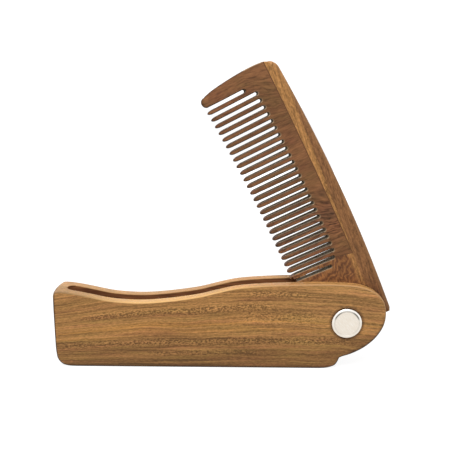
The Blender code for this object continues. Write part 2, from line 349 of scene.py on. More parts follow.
class Recipe:
    """Adds and links the nodes of one material."""

    def __init__(self, name: str) -> None:
        """Starts a material with a plain principled shader.

        Args:
            name: the material's name.
        """
        self.material = bpy.data.materials.new(name)
        self.material.use_nodes = True
        self.nodes = self.material.node_tree.nodes
        self.links = self.material.node_tree.links
        self.shader = self.nodes["Principled BSDF"]

    def add(self, kind: str, **values: str) -> bpy.types.Node:
        """Adds a node.

        Args:
            kind: its type.
            **values: its properties by name.

        Returns:
            The node.
        """
        node = self.nodes.new(kind)
        for key, value in values.items():
            setattr(node, key, value)
        return node

    def feed(self, socket: Socket, value: Value | Triple) -> None:
        """Links a socket or sets its value.

        Args:
            socket: the socket that is fed.
            value: another socket, or what it is set to.
        """
        if isinstance(value, Socket):
            self.links.new(value, socket)
        else:
            socket.default_value = value

    def paint(self, socket: Socket, colour: Paint) -> None:
        """Links a colour socket or sets its colour."""
        self.feed(socket, (*colour, 1.0) if isinstance(colour, tuple) else colour)

    def math(self, operation: str, first: Value, second: Value = 0.0, third: Value = 0.0) -> Socket:
        """One sum on numbers or sockets.

        Args:
            operation: the kind of sum.
            first: its first number.
            second: its second number.
            third: its third number, for the kinds that take three.

        Returns:
            The result.
        """
        node = self.add("ShaderNodeMath", operation=operation)
        for socket, value in zip(node.inputs, (first, second, third)):
            self.feed(socket, value)
        return node.outputs[0]

    def times(self, first: Value, second: Value) -> Socket:
        """One number times another."""
        return self.math("MULTIPLY", first, second)

    def most(self, first: Value, second: Value) -> Socket:
        """The greater of two numbers."""
        return self.math("MAXIMUM", first, second)

    def scaled(self, value: Value, factor: Value, rest: Value) -> Socket:
        """A number times a factor, with the rest added."""
        return self.math("MULTIPLY_ADD", value, factor, rest)

    def place(self, origin: Vector = ORIGIN, turn_deg: float = 0.0) -> Socket:
        """The object's own coordinates, in millimetres, in a frame of their own.

        Args:
            origin: where that frame starts, in millimetres.
            turn_deg: how far it is turned about +Y.

        Returns:
            The coordinates.
        """
        source = self.add("ShaderNodeTexCoord")
        node = self.add("ShaderNodeMapping", vector_type="TEXTURE")
        self.feed(node.inputs["Vector"], source.outputs["Object"])
        node.inputs["Location"].default_value = origin * MM
        node.inputs["Rotation"].default_value = (0.0, math.radians(turn_deg), 0.0)
        node.inputs["Scale"].default_value = (MM, MM, MM)
        return node.outputs["Vector"]

    def figure(self, place: Socket, layer: Figure) -> Socket:
        """A layer of noise around 0.5.

        Args:
            place: the coordinates that it is laid on.
            layer: how it is drawn out.

        Returns:
            The noise.
        """
        turned = self.add("ShaderNodeMapping", vector_type="POINT")
        self.feed(turned.inputs["Vector"], place)
        turned.inputs["Rotation"].default_value = (0.0, math.radians(layer.turn_deg), 0.0)
        drawn = self.add("ShaderNodeMapping", vector_type="POINT")
        self.feed(drawn.inputs["Vector"], turned.outputs["Vector"])
        drawn.inputs["Scale"].default_value = layer.pace
        drawn.inputs["Location"].default_value = layer.shift
        return self.noise(drawn.outputs["Vector"], layer)

    def noise(self, place: Socket, layer: Figure) -> Socket:
        """Noise around 0.5, one swing to each unit of the place.

        Args:
            place: the coordinates.
            layer: its detail, roughness and distortion.

        Returns:
            The noise.
        """
        node = self.add("ShaderNodeTexNoise")
        self.feed(node.inputs["Vector"], place)
        node.inputs["Scale"].default_value = 1.0
        node.inputs["Detail"].default_value = layer.detail
        node.inputs["Roughness"].default_value = layer.roughness
        node.inputs["Distortion"].default_value = layer.distortion
        return node.outputs["Fac"]

    def step(self, value: Value, low: float, high: float, first: float = 0.0,
             last: float = 1.0) -> Socket:
        """A smooth step.

        Args:
            value: what it goes by.
            low: the value at which it starts.
            high: the value at which it ends.
            first: the result up to its start.
            last: the result from its end.

        Returns:
            The result.
        """
        node = self.add("ShaderNodeMapRange", interpolation_type="SMOOTHSTEP")
        for key, item in (("Value", value), ("From Min", low), ("From Max", high),
                          ("To Min", first), ("To Max", last)):
            self.feed(node.inputs[key], item)
        return node.outputs["Result"]

    def hill(self, value: Value, middle: float, width: float) -> Socket:
        """1 where value is at the middle, falling to 0 at width from it."""
        away = self.math("ABSOLUTE", self.math("SUBTRACT", value, middle))
        return self.step(away, 0.0, width, 1.0, 0.0)

    def hills(self, value: Value, hills: Iterable[Hill], ground: Value = 0.0) -> Value:
        """Several hills over one ground.

        Args:
            value: what they go by.
            hills: the hills.
            ground: the height between them.

        Returns:
            The height.
        """
        for hill in hills:
            ground = self.scaled(self.hill(value, hill.middle, hill.width), hill.height, ground)
        return ground

    def radius(self, x: Value, z: Value, middle: Pair) -> Socket:
        """The distance of a place from an axis along Y.

        Args:
            x: the place's X.
            z: the place's Z.
            middle: the axis's X and Z.

        Returns:
            The distance.
        """
        node = self.add("ShaderNodeVectorMath", operation="LENGTH")
        aside, above = (self.math("SUBTRACT", here, there) for here, there in zip((x, z), middle))
        self.feed(node.inputs[0], self.join(aside, 0.0, above))
        return node.outputs["Value"]

    def rings(self, value: Value, pace: float) -> Socket:
        """Even lines between 0 and 1, by pace to each unit of value."""
        return self.math("PINGPONG", self.times(value, pace), 1.0)

    def tone(self, *layers: tuple[Socket, Value]) -> Value:
        """A factor around 1 from noises around 0.5.

        Args:
            *layers: each noise with its strength.

        Returns:
            The factor.
        """
        total = 1.0
        for noise, strength in layers:
            total = self.scaled(self.math("SUBTRACT", noise, 0.5), strength, total)
        return total

    def blend(self, share: Value, first: Paint, second: Paint) -> Socket:
        """Mixes two colours.

        Args:
            share: the share of the second.
            first: the colour at 0.
            second: the colour at 1.

        Returns:
            The mixed colour.
        """
        node = self.add("ShaderNodeMix", data_type="RGBA")
        self.feed(node.inputs[MIX_SHARE], share)
        self.paint(node.inputs[MIX_FIRST], first)
        self.paint(node.inputs[MIX_SECOND], second)
        return node.outputs[MIX_RESULT]

    def coat(self, colour: Paint, second: Paint, share: Value, strength: float) -> Socket:
        """Lays a second colour over the first, by a share times a strength."""
        return self.blend(self.times(share, strength), colour, second)

    def shade(self, colour: Socket, amount: Value) -> Socket:
        """Multiplies a colour by a number.

        Args:
            colour: the colour.
            amount: the number.

        Returns:
            The shaded colour.
        """
        node = self.add("ShaderNodeVectorMath", operation="SCALE")
        self.feed(node.inputs[0], colour)
        self.feed(node.inputs["Scale"], amount)
        return node.outputs[0]

    def split(self, place: Socket) -> tuple[Socket, ...]:
        """The X, Y and Z of coordinates.

        Args:
            place: the coordinates.

        Returns:
            The three of them.
        """
        node = self.add("ShaderNodeSeparateXYZ")
        self.feed(node.inputs[0], place)
        return tuple(node.outputs)

    def join(self, x: Value, y: Value, z: Value) -> Socket:
        """Coordinates from their parts.

        Args:
            x: the X.
            y: the Y.
            z: the Z.

        Returns:
            The coordinates.
        """
        node = self.add("ShaderNodeCombineXYZ")
        for socket, item in zip(node.inputs, (x, y, z)):
            self.feed(socket, item)
        return node.outputs[0]

    def wear_and_shading(self) -> Socket:
        """The share of marked edge that the mesh carries, for wear, painted highlight and painted shade.
        """
        return self.add("ShaderNodeAttribute", attribute_name=Blank.WEAR_AND_SHADING).outputs["Fac"]

    def finish(self, colour: Paint, roughness: Value, height: Socket | None = None,
               depth: float = 0.0) -> bpy.types.Material:
        """Wires the shader.

        Args:
            colour: the base colour.
            roughness: the roughness.
            height: the relief, in the unit of depth; left out for a flat finish.
            depth: how deep the relief is, in millimetres.

        Returns:
            The material.
        """
        self.paint(self.shader.inputs["Base Color"], colour)
        self.feed(self.shader.inputs["Roughness"], roughness)
        self.shader.inputs["Specular IOR Level"].default_value = WOOD_GLOSS
        if height is not None:
            bump = self.add("ShaderNodeBump")
            bump.inputs["Strength"].default_value = 1.0
            bump.inputs["Distance"].default_value = depth * MM
            self.feed(bump.inputs["Height"], height)
            self.feed(self.shader.inputs["Normal"], bump.outputs["Normal"])
        return self.material


@dataclass(frozen=True)
class SpeckleBand:
    """A band of short dark pores along the handle's grain.

    Attributes:
        height: its middle above the base, on the grain's own level.
        width: how far it reaches above and below.
        left: where along X it starts.
        right: where along X it ends.
        strength: how dark it is.
        fade: how far its ends take to fade.
    """

    height: float
    width: float
    left: float
    right: float
    strength: float
    fade: float = 7.0


@dataclass(frozen=True)
class HandleWood:
    """Golden-brown oiled wood with its grain along the handle.

    Each span gives the place where a change starts and the place where it is complete.
    """

    pivot: Vector
    upper: Colour = srgb(184, 134, 80)
    upper_right: Colour = srgb(193, 142, 87)
    upper_right_span: Pair = (8.0, 46.0)
    # Painted shade: lower and foot paint the face darker low down, where the light falls off towards the
    # bottom; foot also darkens it towards the lower arc.
    lower: Colour = srgb(160, 116, 70)
    lower_shade_span: Pair = (11.9, 10.3)
    foot: Colour = srgb(142, 103, 62)
    foot_shade_span: Pair = (5.0, 0.0)
    glow: Colour = srgb(190, 136, 73)
    glow_at: Hill = Hill(14.5, 4.1)
    glow_share: float = 0.72
    vein_span: Pair = (0.46, 0.6)
    ridge_at: Hill = Hill(11.1, 0.5)
    ridge_span: Pair = (-24.0, -34.0)
    olive: Colour = srgb(168, 132, 74)
    olive_span: Pair = (0.5, 0.66)
    red: Colour = srgb(176, 118, 78)
    red_span: Pair = (0.48, 0.34)
    cast_share: float = 0.4
    # Worn rims with a painted highlight: lighter on the top rims where the light falls, dimmer on the
    # left end and the back.
    worn_highlight: Colour = srgb(236, 188, 122)
    worn_highlight_left: Colour = srgb(142, 111, 73)
    worn_highlight_left_span: Pair = (-50.0, -20.0)
    worn_highlight_right: Colour = srgb(192, 148, 100)
    worn_highlight_right_span: Pair = (2.0, 30.0)
    worn_highlight_back: Colour = srgb(190, 148, 102)
    worn_highlight_back_span: Pair = (-1.0, 1.0)
    worn_highlight_share: float = 0.88
    # Painted shade: a dark brown laid next to the lower and left edges, round the lower arc, on the low
    # and left rims and in a ring round the rivet's seat.
    painted_shade: Colour = srgb(64, 43, 31)
    painted_shade_share: float = 0.75
    low_rim_shade_span: Pair = (20.0, 12.0)
    left_rim_shade_span: Pair = (-48.6, -49.2)
    left_rim_shade_top_span: Pair = (25.0, 22.0)
    foot_edge_shade_span: Pair = (1.5, 0.2)
    left_edge_shade_span: Pair = (-48.7, -49.7)
    arc_middle: Pair = (47.5, 19.5)
    arc_radius: float = 13.9
    arc_shade_from: float = 7.0
    arc_shade_right_span: Pair = (34.0, 50.0)
    arc_shade_down_span: Pair = (18.0, 8.0)
    arc_edge_shade_width: float = 1.2
    arc_edge_shade_right_span: Pair = (48.0, 51.0)
    arc_edge_shade_down_span: Pair = (21.0, 13.0)
    seat_shade_radius: float = 5.5
    seat_shade_width: float = 0.8
    seat_shade_share: float = 0.5
    broad: Figure = Figure((0.015, 0.14, 0.45), detail=2.0)
    streak: Figure = Figure((0.03, 0.5, 1.3), (3.0, 1.0, 8.0), detail=2.0, weight=1.3)
    fine: Figure = Figure((0.05, 1.6, 3.0), (7.0, 4.0, 1.0), roughness=0.6, weight=2.0)
    hair: Figure = Figure((0.6, 2.0, 6.0), (5.0, 2.0, 9.0), detail=2.0, weight=1.8)
    flecks: Figure = Figure((1.3, 0.9, 2.4), (1.0, 9.0, 4.0), detail=1.0, distortion=0.5, weight=0.8)
    veins: Figure = Figure((0.018, 0.4, 1.5), (9.0, 2.0, 4.0), detail=1.0)
    cast: Figure = Figure((0.04, 0.3, 0.6), (6.0, 5.0, 2.0))
    sways: tuple[tuple[Figure, float], ...] = (
        (Figure((0.045, 1.0, 0.09), detail=1.0), 2.0),
        (Figure((0.3, 1.0, 0.4), detail=1.0), 0.5),
    )
    least_tone: float = 0.5
    pore_limit: float = 0.6
    grain_middle: float = -10.0
    grain_rise: float = 0.004
    grain_bend: float = 0.00006
    roughness: Pair = (0.36, 0.22)
    relief: float = 0.03
    bands: tuple[SpeckleBand, ...] = (
        SpeckleBand(19.9, 1.8, -42.0, 26.0, 4.4),
        SpeckleBand(24.1, 1.6, 12.0, 38.0, 4.4),
        SpeckleBand(9.1, 2.0, -50.0, 54.0, 3.8),
        SpeckleBand(5.3, 1.4, -20.0, 22.0, 3.2),
        SpeckleBand(16.5, 3.6, 10.0, 42.0, 2.6),
    )

    def make(self) -> bpy.types.Material:
        """Builds the material.

        Returns:
            The material.
        """
        recipe = Recipe("handle_oiled_wood")
        x, y, z = recipe.split(recipe.place())
        level = self._level(recipe, x, y, z)
        grain = recipe.join(x, y, level)
        out = recipe.radius(x, z, self.arc_middle)
        layers = (self.broad, self.streak, self.fine, self.hair, self.flecks)
        noises = [recipe.figure(grain, layer) for layer in layers]
        _, _, fine, _, flecks = noises
        speckled = self._speckled(recipe, x, level)
        pores = recipe.math("MINIMUM", flecks, self.pore_limit)
        weighted = [(noise, layer.weight) for noise, layer in zip(noises, layers)]
        tone = recipe.tone(*weighted, (pores, speckled))
        colour = self._ground(recipe, x, z, level, out)
        colour = self._tinge(recipe, colour, x, level, grain)
        colour = recipe.shade(colour, recipe.most(tone, self.least_tone))
        # Painted shade next to the lower and left edges and the lower arc.
        colour = recipe.coat(colour, self.painted_shade, self._painted_edge_shade(recipe, x, z, out), self.painted_shade_share)
        # Rubbed wear and painted highlight on the rims, with painted shade on the low and left rims.
        colour = recipe.coat(colour, self._rim_highlight_and_shade(recipe, x, y, z), recipe.wear_and_shading(), self.worn_highlight_share)
        # Painted shade in a ring round the rivet's seat.
        seat_shade = recipe.hill(recipe.radius(x, z, self.pivot.xz), self.seat_shade_radius, self.seat_shade_width)
        colour = recipe.coat(colour, self.painted_shade, seat_shade, self.seat_shade_share)
        least, swing = self.roughness
        rough = recipe.scaled(fine, swing, least)
        height = recipe.math("ADD", fine, recipe.times(flecks, speckled))
        return recipe.finish(colour, rough, height, self.relief)

    def _level(self, recipe: Recipe, x: Socket, y: Socket, z: Socket) -> Socket:
        """The height on the grain's own level: it rises to the right, more so higher up, and sways.

        Args:
            recipe: the material in the making.
            x: the place along the handle.
            y: the place through it.
            z: the height.

        Returns:
            The level in millimetres.
        """
        along = recipe.math("SUBTRACT", x, self.grain_middle)
        slope = recipe.scaled(along, self.grain_bend, -self.grain_rise)
        level = recipe.times(z, recipe.scaled(along, slope, 1.0))
        for layer, reach in self.sways:
            along_pace, _, up_pace = layer.pace
            place = recipe.join(recipe.times(x, along_pace), y, recipe.times(z, up_pace))
            sway = recipe.math("SUBTRACT", recipe.noise(place, layer), 0.5)
            level = recipe.scaled(sway, reach, level)
        return level

    def _speckled(self, recipe: Recipe, x: Socket, level: Socket) -> Value:
        """How strongly each place is flecked with short wavy pores.

        Args:
            recipe: the material in the making.
            x: the place along the handle.
            level: the height on the grain's own level.

        Returns:
            The strength.
        """
        share = 0.0
        for band in self.bands:
            across = recipe.hill(level, band.height, band.width)
            start = recipe.step(x, band.left, band.left + band.fade)
            stop = recipe.step(x, band.right - band.fade, band.right, 1.0, 0.0)
            here = recipe.times(recipe.times(across, start), stop)
            share = recipe.most(share, recipe.times(here, band.strength))
        return share

    def _ground(self, recipe: Recipe, x: Socket, z: Socket, level: Socket, out: Socket) -> Socket:
        """The plain colour: lighter at the upper right, darker low down and towards the end's arc as
        painted shade.

        Args:
            recipe: the material in the making.
            x: the place along the handle.
            z: the height.
            level: the height on the grain's own level.
            out: the distance from the middle of the right end's arc.

        Returns:
            The colour.
        """
        # Painted shade: darker low down, and towards the lower part of the end's arc.
        right = recipe.step(x, *self.arc_shade_right_span)
        under = recipe.times(right, recipe.step(z, *self.arc_shade_down_span))
        shaded = recipe.times(under, recipe.step(out, self.arc_shade_from, self.arc_radius))
        colour = recipe.blend(recipe.step(x, *self.upper_right_span), self.upper, self.upper_right)
        colour = recipe.blend(recipe.step(level, *self.lower_shade_span), colour, self.lower)
        return recipe.blend(recipe.most(recipe.step(z, *self.foot_shade_span), shaded), colour, self.foot)

    def _tinge(self, recipe: Recipe, colour: Socket, x: Socket, level: Socket, grain: Socket) -> Socket:
        """Adds the golden veins and the patches of greener and redder brown.

        Args:
            recipe: the material in the making.
            colour: the plain colour.
            x: the place along the handle.
            level: the height on the grain's own level.
            grain: the coordinates along the grain.

        Returns:
            The tinged colour.
        """
        veins = recipe.step(recipe.figure(grain, self.veins), *self.vein_span)
        light = recipe.times(recipe.hill(level, self.glow_at.middle, self.glow_at.width), veins)
        ridge = recipe.hill(level, self.ridge_at.middle, self.ridge_at.width)
        ridge = recipe.times(ridge, recipe.step(x, *self.ridge_span))
        colour = recipe.coat(colour, self.glow, recipe.most(light, ridge), self.glow_share)
        cast = recipe.figure(grain, self.cast)
        for tint, span in ((self.olive, self.olive_span), (self.red, self.red_span)):
            colour = recipe.blend(recipe.step(cast, *span, 0.0, self.cast_share), colour, tint)
        return colour

    def _painted_edge_shade(self, recipe: Recipe, x: Socket, z: Socket, out: Socket) -> Socket:
        """How much painted shade darkens the faces next to the edges: at the foot, the left end and the
        lower arc.

        Args:
            recipe: the material in the making.
            x: the place along the handle.
            z: the height.
            out: the distance from the middle of the right end's arc.

        Returns:
            The share of painted shade.
        """
        edge = recipe.most(recipe.step(z, *self.foot_edge_shade_span), recipe.step(x, *self.left_edge_shade_span))
        at_arc = recipe.hill(out, self.arc_radius, self.arc_edge_shade_width)
        at_arc = recipe.times(recipe.step(x, *self.arc_edge_shade_right_span), at_arc)
        return recipe.most(edge, recipe.times(recipe.step(z, *self.arc_edge_shade_down_span), at_arc))

    def _rim_highlight_and_shade(self, recipe: Recipe, x: Socket, y: Socket, z: Socket) -> Socket:
        """The colour of the rounded edges: rubbed and painted lighter at the top as a highlight, dimmer
        at the left, and dark with painted shade low down and left.

        Args:
            recipe: the material in the making.
            x: the place along the handle.
            y: the place through it.
            z: the height.

        Returns:
            The colour.
        """
        light = recipe.blend(recipe.step(x, *self.worn_highlight_left_span), self.worn_highlight_left, self.worn_highlight)
        light = recipe.blend(recipe.step(x, *self.worn_highlight_right_span), light, self.worn_highlight_right)
        light = recipe.blend(recipe.step(y, *self.worn_highlight_back_span), light, self.worn_highlight_back)
        left = recipe.step(x, *self.left_rim_shade_span)
        left = recipe.times(left, recipe.step(z, *self.left_rim_shade_top_span))
        return recipe.blend(recipe.most(recipe.step(z, *self.low_rim_shade_span), left), light, self.painted_shade)


@dataclass(frozen=True)
class SawnWood:
    """The rougher wood inside a routed or sawn slot, with painted light in its colour: painted shade in
    the handle's slot, and paler, greyer walls between the teeth for the light that falls through.
    """

    name: str
    colour: Colour
    streak: Colour
    streak_span: Pair = (0.3, 0.7)
    marks: Figure = Figure((0.12, 0.6, 1.6), detail=4.0)
    roughness: float = 0.78
    relief: float = 0.04

    def make(self) -> bpy.types.Material:
        """Builds the material.

        Returns:
            The material.
        """
        recipe = Recipe(self.name)
        marks = recipe.figure(recipe.place(), self.marks)
        colour = recipe.blend(recipe.step(marks, *self.streak_span), self.colour, self.streak)
        return recipe.finish(colour, self.roughness, marks, self.relief)


@dataclass(frozen=True)
class SpineWood:
    """The lighter oiled wood of the comb's outer strip and root.

    Lengths are those of the closed comb, from the pivot. Each span gives the place where a
    change starts and the place where it is complete.
    """

    pivot: Vector
    turn_deg: float
    light: Colour = srgb(185, 133, 79)
    dark: Colour = srgb(144, 100, 63)
    border_slope: float = -0.06
    border_lift_span: Pair = (-72.0, -82.0)
    border_heights: Pair = (10.8, 12.4)
    border_sway: float = 2.0
    border_blur: Pair = (-0.2, 0.4)
    root: Colour = srgb(110, 71, 46)
    root_span: Pair = (13.6, 11.4)
    root_sway: float = 4.0
    curl: Colour = srgb(154, 104, 62)
    curl_span: Pair = (0.05, 1.0)
    curl_pace: float = 1.0
    swirl: float = 6.0
    knot: Pair = (-34.0, -6.0)
    # Painted shade: the hub is painted darker where the handle's walls stand over it.
    hub_shade: Colour = srgb(114, 77, 50)
    hub_shade_span: Pair = (-14.0, -3.0)
    # Worn rims with a painted highlight: the rounded rims take a rubbed colour that lightens the darker
    # outer strip.
    worn_highlight: Colour = srgb(168, 122, 80)
    worn_highlight_share: float = 0.4
    streak: Figure = Figure((0.08, 0.5, 1.4), turn_deg=-8.0, distortion=0.3)
    fine: Figure = Figure((0.3, 1.6, 3.6), turn_deg=-10.0, roughness=0.6)
    flecks: Figure = Figure((0.9, 1.0, 2.2), detail=2.0, distortion=0.7)
    knots: Figure = Figure((0.2, 0.3, 0.3), detail=1.0, distortion=0.8)
    strip_tone: float = 1.7
    root_tone: float = 1.0
    roughness: Pair = (0.36, 0.2)
    relief: float = 0.025

    def make(self) -> bpy.types.Material:
        """Builds the material.

        Returns:
            The material.
        """
        recipe = Recipe("spine_oiled_wood")
        place = recipe.place(self.pivot, self.turn_deg)
        x, _, z = recipe.split(place)
        streak, fine, flecks, knots = (
            recipe.figure(place, layer) for layer in (self.streak, self.fine, self.flecks, self.knots))
        rooted = recipe.step(recipe.scaled(knots, self.root_sway, z), *self.root_span)
        swirl = recipe.scaled(knots, self.swirl, recipe.radius(x, z, self.knot))
        broken = recipe.math("SUBTRACT", flecks, 0.5)
        curls = recipe.math("ADD", recipe.rings(swirl, self.curl_pace), broken)
        curls = recipe.step(curls, *self.curl_span)
        colour = self._strip(recipe, x, z, streak)
        colour = recipe.blend(rooted, colour, recipe.blend(curls, self.root, self.curl))
        # Painted shade over the hub, next to the handle.
        colour = recipe.blend(recipe.step(x, *self.hub_shade_span), colour, self.hub_shade)
        strength = recipe.scaled(rooted, self.root_tone - self.strip_tone, self.strip_tone)
        tone = recipe.tone(*((noise, strength) for noise in (streak, fine, flecks)))
        # Rubbed wear and painted highlight on the rounded rims.
        colour = recipe.coat(recipe.shade(colour, tone), self.worn_highlight, recipe.wear_and_shading(), self.worn_highlight_share)
        least, swing = self.roughness
        return recipe.finish(colour, recipe.scaled(fine, swing, least), fine, self.relief)

    def _strip(self, recipe: Recipe, x: Socket, z: Socket, streak: Socket) -> Socket:
        """The strip's two colours, light next to the joint and darker outside.

        Args:
            recipe: the material in the making.
            x: the place along the closed comb.
            z: the height over the pivot.
            streak: the noise that makes their border uneven.

        Returns:
            The colour.
        """
        lift = recipe.step(x, *self.border_lift_span, *self.border_heights)
        border = recipe.scaled(x, self.border_slope, lift)
        sway = recipe.times(recipe.math("SUBTRACT", streak, 0.5), self.border_sway)
        over = recipe.math("ADD", sway, recipe.math("SUBTRACT", z, border))
        return recipe.blend(recipe.step(over, *self.border_blur), self.light, self.dark)


@dataclass(frozen=True)
class ToothWood:
    """The dark reddish-brown wood of the teeth, with its grain along them.

    Lengths are those of the closed comb, from the pivot. Each span gives the place where a
    change starts and the place where it is complete.
    """

    pivot: Vector
    turn_deg: float
    roots: Arch
    base: Colour = srgb(121, 82, 53)
    light: Colour = srgb(141, 96, 62)
    light_span: Pair = (0.4, 0.62)
    olive: Colour = srgb(119, 88, 53)
    olive_span: Pair = (0.5, 0.66)
    red: Colour = srgb(134, 85, 58)
    red_span: Pair = (0.48, 0.34)
    cast_share: float = 0.5
    dark: Colour = srgb(99, 69, 50)
    dark_share: float = 0.6
    dark_at: Hill = Hill(-35.5, 5.0)
    less_dark_at: Hill = Hill(-43.0, 3.0, 0.6)
    rim: Colour = srgb(66, 45, 34)
    # Painted highlight on the rims round the slots' ends.
    root_rim_highlight: Colour = srgb(168, 140, 108)
    root_rim_highlight_span: Pair = (-0.4, 0.3)
    rim_share: float = 0.85
    leans: tuple[Hill, ...] = (Hill(-80.0, 13.0, 0.42), Hill(-37.0, 12.0, 0.5))
    lean_from: float = 4.0
    broad: Figure = Figure((0.2, 0.15, 0.03), detail=2.0)
    streak: Figure = Figure((1.1, 0.5, 0.14), (2.0, 5.0, 1.0), distortion=0.8, weight=1.2)
    fine: Figure = Figure((2.6, 1.6, 0.35), roughness=0.6, weight=1.5)
    cast: Figure = Figure((0.22, 0.2, 0.12), (4.0, 2.0, 7.0), detail=2.0)
    wave: Figure = Figure((0.3, 0.3, 0.2), (8.0, 3.0, 5.0), detail=2.0)
    wave_reach: float = 6.0
    line_pace: float = 1.25
    line_span: Pair = (0.0, 0.7)
    line_tone: float = 0.1
    lines_at: Hill = Hill(-80.0, 11.0, 0.3)
    curl_at: Hill = Hill(-33.0, 15.0)
    curl_streak: float = 0.9
    curl_fine: float = 0.6
    curl_lines: float = 0.75
    roughness: Pair = (0.4, 0.2)
    relief: float = 0.025

    def make(self) -> bpy.types.Material:
        """Builds the material.

        Returns:
            The material.
        """
        recipe = Recipe("tooth_oiled_wood")
        x, y, z = recipe.split(recipe.place(self.pivot, self.turn_deg))
        rise = recipe.most(recipe.math("SUBTRACT", z, self.lean_from), 0.0)
        lean = recipe.hills(x, self.leans)
        across = recipe.math("SUBTRACT", x, recipe.times(lean, rise))
        grain = recipe.join(across, y, z)
        streak, fine = recipe.figure(grain, self.streak), recipe.figure(grain, self.fine)
        curl = recipe.hill(x, self.curl_at.middle, self.curl_at.width)
        lines = recipe.scaled(recipe.figure(grain, self.wave), self.wave_reach, across)
        lines = recipe.step(recipe.rings(lines, self.line_pace), *self.line_span)
        lined = recipe.hills(x, [self.lines_at], self.line_tone)
        tone = recipe.tone(
            (streak, recipe.scaled(curl, self.curl_streak, self.streak.weight)),
            (fine, recipe.scaled(curl, self.curl_fine, self.fine.weight)),
            (lines, recipe.scaled(curl, self.curl_lines, lined)))
        colour = recipe.shade(self._ground(recipe, x, grain), tone)
        # Dark rims along the teeth, and a painted highlight on the rims round the slots' ends.
        colour = recipe.coat(colour, self._edges(recipe, x, z), recipe.wear_and_shading(), self.rim_share)
        least, swing = self.roughness
        return recipe.finish(colour, recipe.scaled(fine, swing, least), fine, self.relief)

    def _ground(self, recipe: Recipe, x: Socket, grain: Socket) -> Socket:
        """The plain colour, with patches of greener and redder brown and two darker places.

        Args:
            recipe: the material in the making.
            x: the place along the closed comb.
            grain: the coordinates along the grain.

        Returns:
            The colour.
        """
        broad = recipe.figure(grain, self.broad)
        colour = recipe.blend(recipe.step(broad, *self.light_span), self.base, self.light)
        cast = recipe.figure(grain, self.cast)
        for tint, span in ((self.olive, self.olive_span), (self.red, self.red_span)):
            colour = recipe.blend(recipe.step(cast, *span, 0.0, self.cast_share), colour, tint)
        shadow = recipe.hill(x, self.dark_at.middle, self.dark_at.width)
        shadow = recipe.most(shadow, recipe.hills(x, [self.less_dark_at]))
        return recipe.coat(colour, self.dark, shadow, self.dark_share)

    def _edges(self, recipe: Recipe, x: Socket, z: Socket) -> Socket:
        """The colour of the rims: dark along the teeth, and light round the ends of the slots as a
        painted highlight where the rims catch the light.

        Args:
            recipe: the material in the making.
            x: the place along the closed comb.
            z: the height over the pivot.

        Returns:
            The colour.
        """
        away = recipe.math("SUBTRACT", x, self.roots.middle)
        drop = recipe.times(recipe.times(away, away), 0.5 / self.roots.radius)
        over = recipe.math("SUBTRACT", recipe.math("ADD", z, drop), self.roots.crest)
        return recipe.blend(recipe.step(over, *self.root_rim_highlight_span), self.rim, self.root_rim_highlight)


@dataclass(frozen=True)
class RivetMetal:
    """Satin pale metal with faint rubbing marks, a rim painted lighter towards the top as a painted
    reflection, and painted shade in its groove, darkest high up and to the sides.

    Each span gives the place where a change starts and the place where it is complete.
    """

    pivot: Vector
    disc: Colour = (0.7, 0.635, 0.545)
    rub: Colour = (0.76, 0.72, 0.65)
    rub_span: Pair = (0.45, 0.72)
    # Painted reflection: the rim is lighter towards the top, where it faces the light.
    rim: Colour = (0.86, 0.83, 0.78)
    rim_low: Colour = (0.74, 0.685, 0.6)
    rim_highlight_span: Pair = (-1.5, 3.0)
    # Painted shade in the groove, darkest high up and to each side.
    painted_shade: Colour = (0.12, 0.115, 0.1)
    shade_high_span: Pair = (0.8, 2.2)
    shade_high: Pair = (0.1, 0.5)
    shade_aside_span: Pair = (1.2, 2.8)
    shade_aside: Pair = (1.0, 2.0)
    groove: float = 4.2
    groove_width: float = 0.48
    groove_blur: Pair = (4.1, 4.35)
    cloud: Figure = Figure((0.6, 0.6, 0.6))
    rubs: Figure = Figure((3.2, 1.0, 0.5), turn_deg=38.0)
    roughness: Pair = (0.22, 0.2)
    relief: float = 0.004

    def make(self) -> bpy.types.Material:
        """Builds the material.

        Returns:
            The material.
        """
        recipe = Recipe("rivet_satin_metal")
        place = recipe.place(self.pivot)
        x, _, z = recipe.split(place)
        radius = recipe.radius(x, z, (0.0, 0.0))
        cloud, rubs = recipe.figure(place, self.cloud), recipe.figure(place, self.rubs)
        colour = recipe.blend(recipe.step(rubs, *self.rub_span), self.disc, self.rub)
        # Painted reflection: the rim lighter towards the top.
        rim = recipe.blend(recipe.step(z, *self.rim_highlight_span), self.rim_low, self.rim)
        colour = recipe.blend(recipe.step(radius, *self.groove_blur), colour, rim)
        # Painted shade in the groove, darkest high up and to each side.
        high = recipe.step(z, *self.shade_high_span, *self.shade_high)
        aside = recipe.step(recipe.math("ABSOLUTE", x), *self.shade_aside_span, *self.shade_aside)
        in_groove = recipe.hill(radius, self.groove, self.groove_width)
        colour = recipe.blend(recipe.times(recipe.times(high, aside), in_groove), colour, self.painted_shade)
        least, swing = self.roughness
        recipe.shader.inputs["Metallic"].default_value = 1.0
        return recipe.finish(colour, recipe.scaled(cloud, swing, least), rubs, self.relief)


@dataclass(frozen=True)
class PlainFinish:
    """One even colour."""

    name: str
    colour: Colour
    roughness: float

    def make(self) -> bpy.types.Material:
        """Builds the material."""
        return Recipe(self.name).finish(self.colour, self.roughness)


# Painted shade: the handle's slot is painted darker than the handle's wood.
ROUTED_WOOD_PAINTED_DARK = SawnWood("routed_wood_painted_dark", srgb(102, 61, 36), srgb(146, 94, 57))
# Painted light: the walls between the teeth are painted paler and greyer than the teeth, standing in for
# the light that falls through the narrow slots.
SAWN_WOOD_PAINTED_PALE = SawnWood("sawn_wood_painted_pale", srgb(124, 110, 88), srgb(158, 142, 118))
DRY_GLUE = PlainFinish("dry_glue", srgb(112, 76, 50), 0.7)


